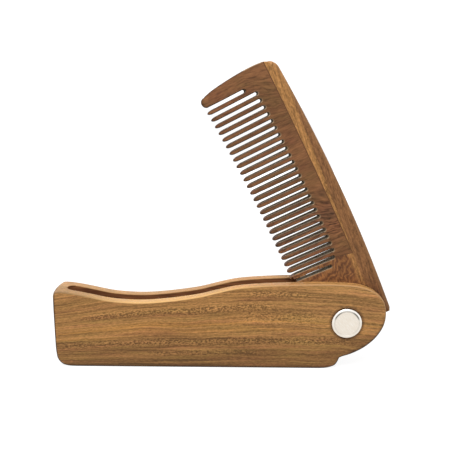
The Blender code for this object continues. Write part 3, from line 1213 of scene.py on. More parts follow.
@dataclass
class Handle:
    """The slotted wooden handle: two walls joined by a web, with a fork round the pivot."""

    pivot: Vector
    thickness: float = 13.0
    edge_round: float = 0.5
    edge_steps: int = 5
    slot_width: float = 5.6
    slot_left: float = -46.1
    slot_edge_round: float = 0.3
    slot_edge_steps: int = 3
    end_bulge: float = 0.75
    bulge_from: float = -44.5
    web_top: float = 3.3
    web_right: float = 44.1
    over_web: float = 1.0
    end_slices: int = 8
    hole_radius: float = 2.15
    recess_radius: float = 5.3
    recess_depth: float = 0.5
    recess_edge: float = 0.18
    recess_edge_bend: float = 0.3
    ring_slack: float = 0.01
    # The tops of the walls take the rims' worn colour, which also paints them lighter as a highlight
    # where the light from above falls.
    top_from: float = 20.0
    top_wear_and_light: float = 0.6
    top_to: float = 28.0
    top_fade: float = 34.0
    round_sides: int = 72
    step: Knots = (
        (40.0, 0.0), (42.2, 0.2), (44.34, 0.82), (45.34, 1.6), (46.02, 2.79), (46.4, 3.75), (47.15, 4.2))
    big_end: Knots = (
        (47.15, 4.2), (50.83, 5.5), (55.1, 7.96), (58.66, 11.36), (60.95, 15.54), (61.44, 19.84),
        (60.39, 23.93), (57.35, 26.94), (53.28, 28.64), (48.62, 29.32), (39.61, 29.56), (26.62, 29.23))
    top: Knots = (
        (26.62, 29.23), (18.62, 28.78), (11.43, 28.03), (5.35, 26.65), (-0.83, 25.07), (-7.32, 23.99),
        (-13.71, 23.2), (-19.8, 22.77), (-25.8, 22.87), (-31.81, 23.46), (-38.13, 24.75),
        (-42.84, 25.65), (-47.15, 26.16), (-49.0, 25.89), (-49.73, 24.68))
    left: Knots = (
        (-49.72, 19.78), (-49.47, 8.78), (-49.27, 5.08), (-48.74, 2.54), (-47.16, 0.76), (-45.01, 0.14),
        (-42.5, 0.0))
    curve_steps: tuple[int, ...] = (3, 8, 6, 5)

    def outline(self) -> list[Vector]:
        """The side view, counter-clockwise from the step.

        Returns:
            Its corners.
        """
        curves = (self.step, self.big_end, self.top, self.left)
        step, big_end, top, left = map(smooth_through, curves, self.curve_steps)
        return step + big_end[1:] + top[1:] + left

    def build(self) -> Blank:
        """Models the handle.

        Returns:
            The finished blank.
        """
        blank = Blank()
        self._half(blank)
        bmesh.ops.mirror(
            blank.mesh, geom=blank.everything(), matrix=Matrix(), merge_dist=MERGE_DIST, axis="Y")
        blank.tidy()
        self._bulge(blank)
        self._round_edges(blank)
        for side in Side:
            self._seat(blank, side)
        blank.tidy()
        self._mark_inside(blank)
        self._mark_top_worn_and_lit(blank)
        return blank

    def dress(self, blank: Blank, skins: list[bpy.types.Material]) -> None:
        """Makes the handle's object and lets it stand in for the plain one.

        Args:
            blank: the modelled handle.
            skins: its materials, in the order of Cut.
        """
        made = blank.finish("handle_wood_block", Body.HANDLE, Slot.HANDLE, skins)
        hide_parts("handle")

    def _half(self, blank: Blank) -> None:
        """Models the front half, open where it meets the back half.

        Args:
            blank: the empty blank.
        """
        mesh = blank.mesh
        wall, half = -self.thickness / 2, -self.slot_width / 2
        blank.plate(self.outline(), wall, half)
        inner = [face for face in mesh.faces if face.calc_center_median().y > half - MERGE_DIST]
        blank.slice(inner, UP * self.web_top, UP)
        web = [face for face in self._flat_at(mesh, half) if self._middle(face).z < self.web_top]
        blank.slice(web, RIGHT * self.web_right, RIGHT)
        arc_middle = self.slot_left - half
        for turn in spread(0.0, math.pi / 2, self.end_slices):
            cut_x = arc_middle + half * math.cos(turn)
            slot = [face for face in self._flat_at(mesh, half) if self._middle(face).z > self.web_top]
            blank.slice(slot, RIGHT * cut_x, RIGHT)
        solid = [face for face in self._flat_at(mesh, half) if self._is_solid(self._middle(face))]
        slot_verts = {
            vert for face in self._flat_at(mesh, half) if face not in solid for vert in face.verts}
        grown = bmesh.ops.extrude_face_region(mesh, geom=solid)["geom"]
        moved = [item for item in grown if isinstance(item, bmesh.types.BMVert)]
        ends = [item for item in grown if isinstance(item, bmesh.types.BMFace)]
        bmesh.ops.translate(mesh, verts=moved, vec=(0.0, -half, 0.0))
        bmesh.ops.delete(mesh, geom=ends + solid, context="FACES")
        for vert in slot_verts:
            if vert.is_valid and self.slot_left - MERGE_DIST < vert.co.x < arc_middle:
                reach = half**2 - (vert.co.x - arc_middle) ** 2
                vert.co.y = -math.sqrt(max(reach, 0.0))
        bmesh.ops.remove_doubles(mesh, verts=mesh.verts, dist=MERGE_DIST)

    def _flat_at(self, mesh: bmesh.types.BMesh, height: float) -> list[bmesh.types.BMFace]:
        """The faces that lie wholly at one Y.

        Args:
            mesh: the mesh.
            height: the Y.

        Returns:
            The faces.
        """
        return [
            face for face in mesh.faces
            if all(abs(vert.co.y - height) < MERGE_DIST for vert in face.verts)]

    def _middle(self, face: bmesh.types.BMFace) -> Vector:
        """The middle of a face's box in the side view.

        Args:
            face: the face.

        Returns:
            The middle, with a Y of 0.
        """
        xs = [vert.co.x for vert in face.verts]
        zs = [vert.co.z for vert in face.verts]
        return Vector(((min(xs) + max(xs)) / 2, 0.0, (min(zs) + max(zs)) / 2))

    def _is_solid(self, middle: Vector) -> bool:
        """Whether the wood goes right through to the middle plane here."""
        return middle.x < self.slot_left or (middle.z < self.web_top and middle.x < self.web_right)

    def _bulge(self, blank: Blank) -> None:
        """Rounds the closed left end outwards, most in the middle of the thickness.

        Args:
            blank: the handle.
        """
        reach = self.bulge_from - min(vert.co.x for vert in blank.mesh.verts)
        for vert in blank.mesh.verts:
            share = min(max(self.bulge_from - vert.co.x, 0.0) / reach, 1.0)
            vert.co.x -= self.end_bulge * share**2 * (1.0 - (2.0 * vert.co.y / self.thickness) ** 2)

    def _round_edges(self, blank: Blank) -> None:
        """Rounds the outer rims, and the slot's upper rim less.

        Args:
            blank: the handle.
        """
        wall = self.thickness / 2 - MERGE_DIST
        outer = [
            edge for edge in blank.mesh.edges
            if all(abs(vert.co.y) > wall for vert in edge.verts)]
        blank.round_off(outer, self.edge_round, self.edge_steps)
        inner = []
        for edge in blank.mesh.edges:
            sides = [face for face in edge.link_faces if self._faces_slot(face)]
            if len(sides) == 1 and edge.calc_face_angle(0.0) > SHARP_CORNER and edge.is_convex:
                inner.append(edge)
        blank.round_off(inner, self.slot_edge_round, self.slot_edge_steps)

    def _faces_slot(self, face: bmesh.types.BMFace) -> bool:
        """Whether a face is an upright wall of the slot that reaches over the web.

        Args:
            face: the face.

        Returns:
            True for such a wall.
        """
        middle = face.calc_center_median()
        upright = abs(face.normal.z) < UPRIGHT and all(
            abs(vert.co.y) < self.slot_width / 2 + MERGE_DIST for vert in face.verts)
        facing_in = face.normal.y * middle.y < 0.0
        tall = max(vert.co.z for vert in face.verts) > self.web_top + self.over_web
        return upright and facing_in and tall

    def _seat(self, blank: Blank, side: Side) -> None:
        """Turns the rivet's recess and hole, and refills the flats around them.

        Args:
            blank: the handle.
            side: the side that it is on.
        """
        face_y = side * self.thickness / 2
        inner_y = side * self.slot_width / 2
        floor_y = face_y - side * self.recess_depth
        chamfer = self.recess_edge * self.recess_edge_bend
        profile = (
            (self.recess_radius + self.recess_edge, face_y),
            (self.recess_radius + chamfer, face_y - side * chamfer),
            (self.recess_radius, face_y - side * self.recess_edge),
            (self.recess_radius, floor_y),
            (self.hole_radius, floor_y),
            (self.hole_radius, inner_y),
        )
        blank.turn(profile, self.pivot, self.round_sides)
        for height, radius in ((face_y, profile[0][0]), (inner_y, self.hole_radius)):
            self._refill(blank.mesh, height, radius)

    def _refill(self, mesh: bmesh.types.BMesh, height: float, radius: float) -> None:
        """Replaces the flat face round the pivot by one with a hole in it.

        Args:
            mesh: the handle's mesh.
            height: the face's Y.
            radius: the hole's radius.
        """
        around = max(self._flat_at(mesh, height), key=lambda face: face.calc_area())
        ring = [
            edge for edge in mesh.edges
            if all(abs(vert.co.y - height) < MERGE_DIST
                   and abs((vert.co - self.pivot).xz.length - radius) < self.ring_slack
                   for vert in edge.verts)]
        rim = list(around.edges)
        bmesh.ops.delete(mesh, geom=[around], context="FACES_ONLY")
        bmesh.ops.triangle_fill(
            mesh, use_beauty=True, use_dissolve=False, edges=rim + ring, normal=(0.0, 1.0, 0.0))

    def _mark_inside(self, blank: Blank) -> None:
        """Gives the slot's walls and floor, and the hole, their own finish.

        Args:
            blank: the handle.
        """
        half = self.slot_width / 2
        for face in blank.mesh.faces:
            deep = all(abs(vert.co.y) < half + MERGE_DIST for vert in face.verts)
            middle = face.calc_center_median()
            in_slot = middle.x > self.slot_left and middle.z > self.web_top - MERGE_DIST
            level = face.normal.z > SLOPING and middle.z > self.web_top + self.over_web
            if deep and in_slot and not level:
                face.material_index = Cut.INSIDE

    def _mark_top_worn_and_lit(self, blank: Blank) -> None:
        """Marks the tops of the two walls as worn and as lit by a painted highlight, less towards the
        right.

        Args:
            blank: the handle.
        """
        for face in blank.mesh.faces:
            if face.normal.z > NEARLY_LEVEL and face.calc_center_median().z > self.top_from:
                for vert in face.verts:
                    fading = min(max((self.top_to - vert.co.x) / self.top_fade, 0.0), 1.0)
                    vert[blank.wear_and_shading] = max(vert[blank.wear_and_shading], self.top_wear_and_light * fading)


@dataclass
class Teeth:
    """The rule that lays out the comb's slots and teeth, closed, from the pivot."""

    slots: int = 27
    pitch: float = 2.48
    first_x: float = -83.65
    level: float = -2.0
    fan: Vector = field(default_factory=lambda: Vector((-64.5, -1057.0)))
    gap: float = 1.1
    tips: Arch = Arch(-10.2, 600.0, -45.5)
    roots: Arch = Arch(6.8, 480.0, -48.0)
    first_top: float = 1.75
    last_top: float = 2.7
    tip_reach: float = 1.9
    tip_steps: int = 10
    end_shift: dict[Side, float] = field(default_factory=lambda: {Side.FRONT: 0.7, Side.BACK: 0.15})
    end_left: ArcPart = (180.0, 105.0, 3)
    end_right: ArcPart = (75.0, 0.0, 3)
    near_wall: float = 0.12
    near_end: float = 1.5

    @property
    def last(self) -> int:
        """The number of the last slot."""
        return self.slots - 1

    def line(self, number: int) -> tuple[Vector, Vector]:
        """The slot's middle line.

        Args:
            number: the slot's number, from the guard tooth.

        Returns:
            A point on it and its direction up to the root.
        """
        foot = Vector((self.first_x + number * self.pitch, self.level))
        return foot, (foot - self.fan).normalized()

    def wall(self, number: int, side: int, height: float) -> Vector:
        """A point on a wall of the slot.

        Args:
            number: the slot's number.
            side: -1 for its left wall, +1 for its right wall.
            height: the point's height.

        Returns:
            The point.
        """
        foot, up = self.line(number)
        start = foot + Vector((up.y, -up.x)) * side * self.gap / 2
        return start + up * (height - start.y) / up.y

    def top(self, number: int) -> float:
        """The height at which the slot's rounded end starts.

        Args:
            number: the slot's number.

        Returns:
            The height.
        """
        if number == 0:
            return self.first_top
        if number == self.last:
            return self.last_top
        return self.roots.at(self.line(number)[0].x) - self.gap / 2

    def end(self, number: int, start_deg: float = 180.0, end_deg: float = 0.0,
            steps: int = 8) -> list[Vector]:
        """The slot's rounded end, from its left wall over to its right, or a part of it.

        Args:
            number: the slot's number.
            start_deg: the angle at which it starts.
            end_deg: the angle at which it ends.
            steps: the number of pieces.

        Returns:
            The points.
        """
        left = self.wall(number, -1, self.top(number))
        right = self.wall(number, 1, self.top(number))
        return arc((left + right) / 2, (right - left).length / 2, start_deg, end_deg, steps)

    def tip(self, number: int) -> list[Vector]:
        """The rounded tip of a tooth, left to right.

        Args:
            number: the number of the slot on its right.

        Returns:
            The points.
        """
        x = (self.line(number - 1)[0].x + self.line(number)[0].x) / 2
        height = self.tips.at(x) + self.tip_reach
        left = self.wall(number - 1, 1, height)
        right = self.wall(number, -1, height)
        middle = (left + right) / 2
        stretch = self.tip_reach / ((right - left).length / 2)
        round_tip = arc(Vector((0.0, 0.0)), (right - left).length / 2, 180.0, 360.0, self.tip_steps)
        return [middle + Vector((place.x, place.y * stretch)) for place in round_tip]

    def slant(self, blank: Blank) -> None:
        """Runs the slots' ends out slantwise, as a saw leaves them: further up on the front.

        Args:
            blank: the spine or the plate.
        """
        for vert in blank.mesh.verts:
            number = self.nearest(vert.co.x)
            _, up = self.line(number)
            at_end = self._near(vert.co.xz, number) and vert.co.z > self.top(number) - MERGE_DIST
            if at_end and number != self.last - 1:
                side = Side.FRONT if vert.co.y < 0.0 else Side.BACK
                vert.co += Vector((up.x, 0.0, up.y)) * self.end_shift[side]

    def nearest(self, x: float) -> int:
        """The number of the slot whose foot is nearest to x."""
        return min(max(round((x - self.first_x) / self.pitch), 0), self.last)

    def in_slot(self, place: Vector) -> bool:
        """Whether a place is on or near the wall of a slot.

        Args:
            place: the place in the XZ plane.

        Returns:
            True on a slot's wall.
        """
        number = self.nearest(place.x)
        close = range(max(number - 1, 0), min(number + 1, self.last) + 1)
        return any(self._near(place, slot) for slot in close)

    def _near(self, place: Vector, number: int) -> bool:
        """Whether a place is within the slot's width and below its end.

        Args:
            place: the place in the XZ plane.
            number: the slot's number.

        Returns:
            True for such a place.
        """
        foot, up = self.line(number)
        offset = place - foot
        across = abs(offset.x * up.y - offset.y * up.x)
        under_end = place.y < self.top(number) + self.gap * self.near_end
        return across < self.gap / 2 + self.near_wall and under_end


@dataclass
class CombHead:
    """What the spine and the tooth plate share: their thickness, joint and tips."""

    teeth: Teeth = field(default_factory=Teeth)
    thickness: float = 5.0
    tip_thickness: float = 3.0
    comb_end: float = -88.95
    joint: Arch = Arch(12.32, 1480.0, -55.0)
    joint_left: float = -89.3
    joint_right: float = -20.1
    glue_gap: float = 0.3
    taper_top: float = 11.0
    taper_fade: float = 10.0
    rim_round: float = 0.34
    rim_steps: int = 3
    joint_steps: int = 24
    joint_slack: float = 0.25
    joint_end_slack: float = 0.05
    flat_side: float = 0.6
    narrow_wall: float = 0.35
    tip_end_share: float = 0.5
    tip_levels: tuple[float, ...] = (0.3, 0.7, 1.2, 1.9)

    @property
    def thinning(self) -> float:
        """How much thinner each half is at the tips than at the back."""
        return (self.thickness - self.tip_thickness) / 2

    @property
    def slope(self) -> float:
        """How far each side leans in for each millimetre down."""
        return self.thinning / (self.taper_top - self.teeth.tips.at(self.comb_end))

    def half_thickness(self, x: float, z: float) -> float:
        """Half the thickness at a place: thinner towards the tips and rounded at their ends.

        Args:
            x: the place along the closed comb.
            z: the height over the pivot.

        Returns:
            Half the thickness.
        """
        full = self.thickness / 2
        tapered = full - self.slope * (self.taper_top - z)
        tapered += max(0.0, x - self.joint_right) * self.thinning / self.taper_fade
        above = max(z - self.teeth.tips.at(x), 0.0)
        away = 1.0 - min(above / self.teeth.tip_reach, 1.0)
        rounding = math.sqrt(max(0.0, 1.0 - away**2))
        share = self.tip_end_share + (1.0 - self.tip_end_share) * rounding
        return min(full, tapered) * share

    def blank_of(self, outline: list[Vector]) -> Blank:
        """Extrudes an outline and gives its sides the taper and the rounded tips.

        Args:
            outline: the side view.

        Returns:
            The shaped blank, with its rims still sharp.
        """
        blank = Blank()
        blank.plate(outline, -1.0, 1.0)
        self.teeth.slant(blank)
        fold = Vector((self.joint_right, 0.0, self.taper_top))
        for normal in (UP, RIGHT, Vector((self.thinning / self.taper_fade, 0.0, self.slope))):
            blank.slice(blank.mesh.faces, fold, normal)
        self._bow(blank, -1.0)
        for level in self.tip_levels:
            blank.slice(blank.mesh.faces, UP * (self.teeth.tips.crest + level), UP)
        self._bow(blank, 1.0)
        for vert in blank.mesh.verts:
            vert.co.y *= self.half_thickness(vert.co.x, vert.co.z)
        blank.tidy()
        return blank

    def _bow(self, blank: Blank, way: float) -> None:
        """Bends the blank so that the tips' arch gets straight, or back.

        Args:
            blank: the spine or the plate.
            way: -1 to make it straight, 1 to bend it back.
        """
        tips = self.teeth.tips
        for vert in blank.mesh.verts:
            vert.co.z += way * (tips.at(vert.co.x) - tips.crest)

    def joint_foot(self) -> Vector:
        """Where the glue joint runs out, at the end of the last slot but one."""
        end = self.teeth.end(self.teeth.last - 1)
        return end[len(end) // 2]

    def at_joint(self, place: Vector) -> bool:
        """Whether a place is on the glue joint between the spine and the plate.

        Args:
            place: the place.

        Returns:
            True on the joint's long part or on its short way down to the slot.
        """
        beside = place.x < self.joint_right + self.glue_gap
        if beside and abs(place.z - self.joint.at(place.x)) < self.joint_slack:
            return True
        top = Vector((self.joint_right, self.joint.at(self.joint_right)))
        nearest, share = intersect_point_line(place.xz, top, self.joint_foot())
        between = -self.joint_end_slack < share < 1.0 + self.joint_end_slack
        return between and (place.xz - nearest.xy).length < self.joint_slack

    def rims(self, blank: Blank) -> list[bmesh.types.BMEdge]:
        """The edges between the flat sides and the narrow walls, but not those at the joint.

        Args:
            blank: the spine or the plate.

        Returns:
            The edges.
        """
        found = []
        for edge in blank.mesh.edges:
            flats = sum(abs(face.normal.y) > self.flat_side for face in edge.link_faces)
            if flats == 1 and not all(self.at_joint(vert.co) for vert in edge.verts):
                found.append(edge)
        return found

    def mark_cuts(self, blank: Blank) -> None:
        """Gives the sawn walls between the teeth their own finish.

        Args:
            blank: the spine or the plate.
        """
        for face in blank.mesh.faces:
            middle = face.calc_center_median()
            over_tip = middle.z > self.teeth.tips.at(middle.x) + self.teeth.tip_reach
            if abs(face.normal.y) < self.narrow_wall and over_tip and self.teeth.in_slot(middle.xz):
                face.material_index = Cut.INSIDE


@dataclass
class CombSpine:
    """The light strip over the teeth with the root and the hub round the pivot."""

    head: CombHead
    crest: Arch = Arch(17.54, 540.0, -42.5)
    back_steps: int = 48
    edge_round: float = 1.3
    edge_steps: int = 6
    round_above: float = 13.8
    corner_radius: float = 3.6
    corner_part: ArcPart = (170.0, 100.0, 7)
    tail_x: float = 3.95
    tail_radius: float = 1.0
    tail_part: ArcPart = (60.0, 0.0, 3)
    hub_radius: float = 11.0
    hub_end_deg: float = -95.0
    hub_steps: int = 36
    block_bottom: float = -10.0

    def outline(self) -> list[Vector]:
        """The side view: along the back, round the hub, the last tooth and back along the joint.

        Returns:
            Its corners.
        """
        teeth, head = self.head.teeth, self.head
        left = head.comb_end + self.corner_radius
        back_xs = spread(left, self.tail_x - self.tail_radius, self.back_steps)
        back = [Vector((x, self.crest.at(x))) for x in back_xs]
        tail = back[-1] - Vector((0.0, self.tail_radius))
        hub_start = math.degrees(math.acos(self.tail_x / self.hub_radius))
        outline = back + arc(tail, self.tail_radius, *self.tail_part)
        outline += arc(Vector((0.0, 0.0)), self.hub_radius, hub_start, self.hub_end_deg, self.hub_steps)
        last = teeth.last
        block_left = teeth.wall(last, 1, self.block_bottom).x + self.tail_radius
        outline.append(Vector((block_left, self.block_bottom)))
        outline.append(teeth.wall(last, 1, self.block_bottom + self.tail_radius))
        outline += teeth.end(last)[::-1] + teeth.tip(last)[::-1]
        outline += teeth.end(last - 1, *teeth.end_right)[::-1]
        half = head.glue_gap / 2
        joint_xs = spread(head.joint_right + half, head.joint_left, head.joint_steps)
        outline += [Vector((x, head.joint.at(x) + half)) for x in joint_xs]
        corner = Vector((left, self.crest.at(left) - self.corner_radius))
        return outline + arc(corner, self.corner_radius, *self.corner_part)

    def build(self) -> Blank:
        """Models the spine.

        Returns:
            The finished blank.
        """
        blank = self.head.blank_of(self.outline())
        low = [edge for edge in self.head.rims(blank) if not self._is_high(edge)]
        blank.round_off(low, self.head.rim_round, self.head.rim_steps)
        high = [edge for edge in self.head.rims(blank) if self._is_high(edge)]
        blank.round_off(high, self.edge_round, self.edge_steps)
        blank.tidy()
        self.head.mark_cuts(blank)
        return blank

    def dress(self, blank: Blank, skins: list[bpy.types.Material], place: Matrix) -> None:
        """Makes the spine's object and lets it stand in for the plain one.

        Args:
            blank: the modelled spine.
            skins: its materials, in the order of Cut.
            place: the matrix that takes it from closed to its place.
        """
        made = blank.finish("comb_spine_wood", Body.COMB, Slot.SPINE, skins, place)
        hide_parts("comb_spine")

    def _is_high(self, edge: bmesh.types.BMEdge) -> bool:
        """Whether an edge is on the comb's back."""
        return all(vert.co.z > self.round_above for vert in edge.verts)


@dataclass
class ToothPlate:
    """The dark plate with the broad guard tooth and the 25 thin teeth."""

    head: CombHead
    guard_outer: Knots = (
        (-89.4, 11.76), (-89.65, 8.5), (-89.55, 3.5), (-89.05, -2.2), (-88.4, -6.9), (-87.5, -10.35))
    guard_tip: Vector = field(default_factory=lambda: Vector((-85.8, -10.0)))
    guard_tip_radius: float = 1.7
    guard_tip_part: ArcPart = (180.0, 350.0, 12)
    guard_outer_steps: int = 6
    guard_inner_rise: float = 4.0

    def outline(self) -> list[Vector]:
        """The side view: down the guard tooth, along the tips and back along the joint.

        Returns:
            Its corners.
        """
        teeth, head = self.head.teeth, self.head
        outline = smooth_through(self.guard_outer, self.guard_outer_steps)[:-1]
        outline += arc(self.guard_tip, self.guard_tip_radius, *self.guard_tip_part)
        outline.append(teeth.wall(0, -1, self.guard_tip.y + self.guard_inner_rise))
        outline += teeth.end(0)
        for number in range(1, teeth.last - 1):
            outline += teeth.tip(number) + teeth.end(number)
        outline += teeth.tip(teeth.last - 1) + teeth.end(teeth.last - 1, *teeth.end_left)
        half = head.glue_gap / 2
        xs = spread(head.joint_right - half, outline[0].x, head.joint_steps)
        return outline + [Vector((x, head.joint.at(x) - half)) for x in xs[:-1]]

    def build(self) -> Blank:
        """Models the plate.

        Returns:
            The finished blank.
        """
        blank = self.head.blank_of(self.outline())
        blank.round_off(self.head.rims(blank), self.head.rim_round, self.head.rim_steps)
        blank.tidy()
        self.head.mark_cuts(blank)
        return blank

    def dress(self, blank: Blank, skins: list[bpy.types.Material], place: Matrix) -> None:
        """Makes the plate's object and lets it stand in for the plain one.

        Args:
            blank: the modelled plate.
            skins: its materials, in the order of Cut.
            place: the matrix that takes it from closed to its place.
        """
        made = blank.finish("tooth_plate_wood", Body.COMB, Slot.TOOTH, skins, place)
        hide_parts("tooth_plate")


@dataclass
class GlueSeam:
    """The dark line of glue that fills the joint, sunk a little below the wood."""

    head: CombHead
    overlap: float = 0.02
    sunk: float = 0.015
    end_sunk: float = 0.1

    def build(self) -> Blank:
        """Models the seam as a thin ribbon along the joint and down to the last but one slot.

        Returns:
            The finished blank.
        """
        head = self.head
        half = head.glue_gap / 2 + self.overlap
        xs = spread(head.joint_left + self.end_sunk, head.joint_right, head.joint_steps)
        upper = [Vector((x, head.joint.at(x) + half)) for x in xs]
        upper[-1].x += half
        lower = [Vector((x, head.joint.at(x) - half)) for x in xs]
        lower[-1].x -= half
        foot = head.joint_foot()
        drop = [foot + Vector((half, 0.0)), foot - Vector((half, 0.0))]
        blank = Blank()
        blank.plate(upper + drop + lower[::-1], -1.0, 1.0)
        for vert in blank.mesh.verts:
            vert.co.y *= head.half_thickness(vert.co.x, vert.co.z) - self.sunk
        return blank

    def dress(self, blank: Blank, skins: list[bpy.types.Material], place: Matrix) -> None:
        """Makes the seam's object.

        Args:
            blank: the modelled seam.
            skins: its one material.
            place: the matrix that takes it from closed to its place.
        """
        blank.finish("glue_seam", Body.COMB, Slot.TOOTH, skins, place)


@dataclass
class Rivet:
    """The turned metal rivet with a flat, rimmed head on each side."""

    handle: Handle
    head_radius: float = 5.08
    head_round: float = 0.42
    head_round_steps: int = 5
    stands_out: float = 0.6
    disc_radius: float = 4.05
    disc_sunk: float = 0.14
    groove: tuple[Pair, ...] = ((-0.08, 1.0), (0.0, 1.25), (0.12, 0.9))
    rim_from: Pair = (0.3, 0.02)
    shaft_radius: float = 2.0
    seat_gap: float = 0.3
    round_sides: int = 96

    def profile(self) -> list[tuple[float, float]]:
        """Radius and height of the turned shape, from one face's middle to the other's.

        Returns:
            The pairs in order.
        """
        face = self.handle.thickness / 2
        top = face + self.stands_out
        under = face - self.handle.recess_depth + self.seat_gap
        turns = spread(0.0, math.pi / 2, self.head_round_steps)
        rim_out, rim_down = self.rim_from
        shoulder = [
            (self.head_radius - self.head_round * (1.0 - math.sin(turn)),
             top - self.head_round * (1.0 - math.cos(turn)))
            for turn in turns]
        half = [
            (0.0, top - self.disc_sunk),
            *((self.disc_radius + out, top - self.disc_sunk * depth) for out, depth in self.groove),
            (self.disc_radius + rim_out, top - rim_down),
            *shoulder,
            (self.head_radius, under),
            (self.shaft_radius, under),
        ]
        return half + [(radius, -height) for radius, height in reversed(half)]

    def build(self) -> Blank:
        """Turns the rivet about the pivot's axis.

        Returns:
            The finished blank.
        """
        blank = Blank()
        blank.turn(self.profile(), self.handle.pivot, self.round_sides)
        blank.tidy()
        return blank

    def dress(self, blank: Blank, skins: list[bpy.types.Material]) -> None:
        """Makes the rivet's object and lets it stand in for the plain one.

        Args:
            blank: the turned rivet.
            skins: its one material.
        """
        made = blank.finish("rivet_turned", Body.HANDLE, Slot.RIVET, skins)
        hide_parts("pivot_rivet")


@dataclass(frozen=True)
class Lamp:
    """A soft square light.

    Attributes:
        name: its name.
        place: where it hangs, in metres.
        target: what it faces.
        width: its width in metres.
        height: its height in metres.
        power: its power in watts.
        mirrored: whether glossy surfaces show it.
    """

    name: str
    place: tuple[float, float, float]
    target: tuple[float, float, float]
    width: float
    height: float
    power: float
    mirrored: bool = True

    def hang(self) -> None:
        """Adds the light to the scene."""
        data = bpy.data.lights.new(self.name, "AREA")
        data.shape = "RECTANGLE"
        data.size = self.width
        data.size_y = self.height
        data.energy = self.power
        light = bpy.data.objects.new(self.name, data)
        bpy.context.scene.collection.objects.link(light)
        light.visible_glossy = self.mirrored
        light.location = self.place
        facing = Vector(self.target) - Vector(self.place)
        light.rotation_mode = "QUATERNION"
        light.rotation_quaternion = facing.to_track_quat("-Z", "Y")


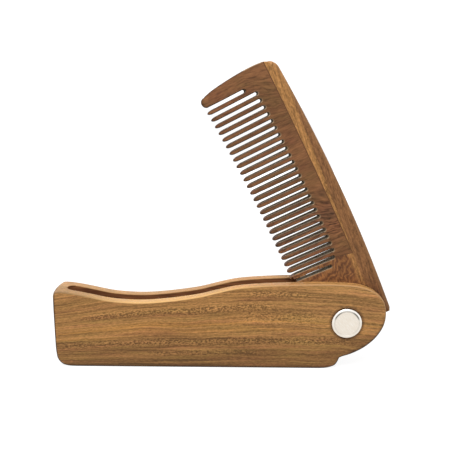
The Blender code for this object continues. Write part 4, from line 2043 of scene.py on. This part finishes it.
@dataclass
class Studio:
    """A white table in soft light, with the camera at the photo's angle."""

    floor_size: float = 6.0
    backdrop: Colour = (1.0, 1.0, 1.0)
    backdrop_glow: float = 1.2
    sky: float = 0.42
    table_glow: float = 0.88
    table_tone: float = 0.25
    table_bounce: float = 0.2
    table_roughness: float = 0.9
    camera_place: Vector = field(default_factory=lambda: Vector((6.72, -226.5, 93.3)))
    yaw_deg: float = 0.151
    pitch_deg: float = 11.3
    roll_deg: float = 0.571
    lens: float = 55.2
    sensor: float = 36.0
    lamps: tuple[Lamp, ...] = (
        Lamp("soft_key", (-0.10, -0.30, 0.60), (0.0, 0.0, 0.04), 0.6, 0.4, 4.0),
        Lamp("soft_back", (0.12, 0.55, 0.13), (0.0, 0.0, 0.04), 0.6, 0.22, 1.8, mirrored=False),
    )

    def build(self) -> None:
        """Sets the floor, the light and the camera."""
        self._floor()
        self._world()
        for lamp in self.lamps:
            lamp.hang()
        self._camera()
        bpy.context.scene.view_settings.view_transform = "Standard"

    def _floor(self) -> None:
        """Lays a pale floor that runs out of sight into the white background."""
        mesh = bmesh.new()
        bmesh.ops.create_grid(mesh, x_segments=1, y_segments=1, size=self.floor_size / 2)
        data = bpy.data.meshes.new("table")
        mesh.to_mesh(data)
        mesh.free()
        table = bpy.data.objects.new("table", data)
        bpy.context.scene.collection.objects.link(table)
        data.materials.append(self._paper())

    def _paper(self) -> bpy.types.Material:
        """Paper that looks white and throws little light back up at the comb.

        Returns:
            The material.
        """
        recipe = Recipe("table_paper")
        bounced = recipe.add("ShaderNodeLightPath").outputs["Is Diffuse Ray"]
        glow = recipe.times(recipe.math("SUBTRACT", 1.0, bounced), self.table_glow)
        recipe.shader.inputs["Emission Color"].default_value = (*self.backdrop, 1.0)
        recipe.feed(recipe.shader.inputs["Emission Strength"], glow)
        tone = recipe.blend(bounced, (self.table_tone,) * 3, (self.table_bounce,) * 3)
        paper = recipe.finish(tone, self.table_roughness)
        paper.cycles.emission_sampling = "NONE"
        return paper

    def _world(self) -> None:
        """White behind everything, and a dimmer sky that lights the comb."""
        world = bpy.data.worlds.new("studio_sky")
        bpy.context.scene.world = world
        world.use_nodes = True
        nodes, links = world.node_tree.nodes, world.node_tree.links
        dim = nodes["Background"]
        dim.inputs["Color"].default_value = (*self.backdrop, 1.0)
        dim.inputs["Strength"].default_value = self.sky
        white = nodes.new("ShaderNodeBackground")
        white.inputs["Color"].default_value = (*self.backdrop, 1.0)
        white.inputs["Strength"].default_value = self.backdrop_glow
        seen = nodes.new("ShaderNodeLightPath")
        choose = nodes.new("ShaderNodeMixShader")
        links.new(seen.outputs["Is Diffuse Ray"], choose.inputs["Fac"])
        links.new(white.outputs["Background"], choose.inputs[1])
        links.new(dim.outputs["Background"], choose.inputs[2])
        links.new(choose.outputs["Shader"], nodes["World Output"].inputs["Surface"])

    def _camera(self) -> None:
        """Puts the camera where the photo was taken from."""
        yaw, pitch, roll = (math.radians(turn) for turn in (self.yaw_deg, self.pitch_deg, self.roll_deg))
        level = Vector((math.cos(yaw), -math.sin(yaw), 0.0))
        north = Vector((math.sin(yaw), math.cos(yaw), 0.0))
        ahead = math.cos(pitch) * north - math.sin(pitch) * UP
        upright = level.cross(ahead)
        right = math.cos(roll) * level + math.sin(roll) * upright
        up = -math.sin(roll) * level + math.cos(roll) * upright
        data = bpy.data.cameras.new("photo_camera")
        data.lens = self.lens
        data.sensor_width = self.sensor
        camera = bpy.data.objects.new("photo_camera", data)
        bpy.context.scene.collection.objects.link(camera)
        turned = Matrix((right, up, -ahead)).transposed().to_4x4()
        camera.matrix_world = Matrix.Translation(self.camera_place * MM) @ turned
        bpy.context.scene.camera = camera


def opened(joint: dict) -> tuple[Vector, float, Matrix]:
    """Reads where the comb head hangs and how far it stands open.

    Args:
        joint: the frame's hinge.

    Returns:
        The pivot in millimetres, the opening in degrees, and the matrix that takes the closed
        comb head, drawn from the pivot, to its place.
    """
    pivot = Vector(joint["pos_m"]) / MM
    turn_deg = -joint["range_deg"][0]
    place = Matrix.Translation(pivot) @ Matrix.Rotation(math.radians(turn_deg), 4, "Y")
    return pivot, turn_deg, place


def main() -> None:
    """Builds, dresses and lights everything."""
    logging.basicConfig(level=logging.INFO, format="%(name)s %(message)s")
    pivot, turn_deg, place = opened(frame["joints"][0])
    # The slots' finishes hold painted shade and painted light.
    cut_painted_dark = ROUTED_WOOD_PAINTED_DARK.make()
    cut_painted_pale = SAWN_WOOD_PAINTED_PALE.make()
    handle_wood = HandleWood(pivot).make()
    spine_wood = SpineWood(pivot, turn_deg).make()
    glue = DRY_GLUE.make()
    handle = Handle(pivot)
    handle.dress(handle.build(), [handle_wood, cut_painted_dark])
    head = CombHead()
    tooth_wood = ToothWood(pivot, turn_deg, head.teeth.roots).make()
    spine = CombSpine(head)
    spine.dress(spine.build(), [spine_wood, cut_painted_pale], place)
    plate = ToothPlate(head)
    plate.dress(plate.build(), [tooth_wood, cut_painted_pale], place)
    seam = GlueSeam(head)
    seam.dress(seam.build(), [glue], place)
    rivet = Rivet(handle)
    rivet.dress(rivet.build(), [RivetMetal(pivot).make()])
    Studio().build()


if __name__ == "__main__":
    main()
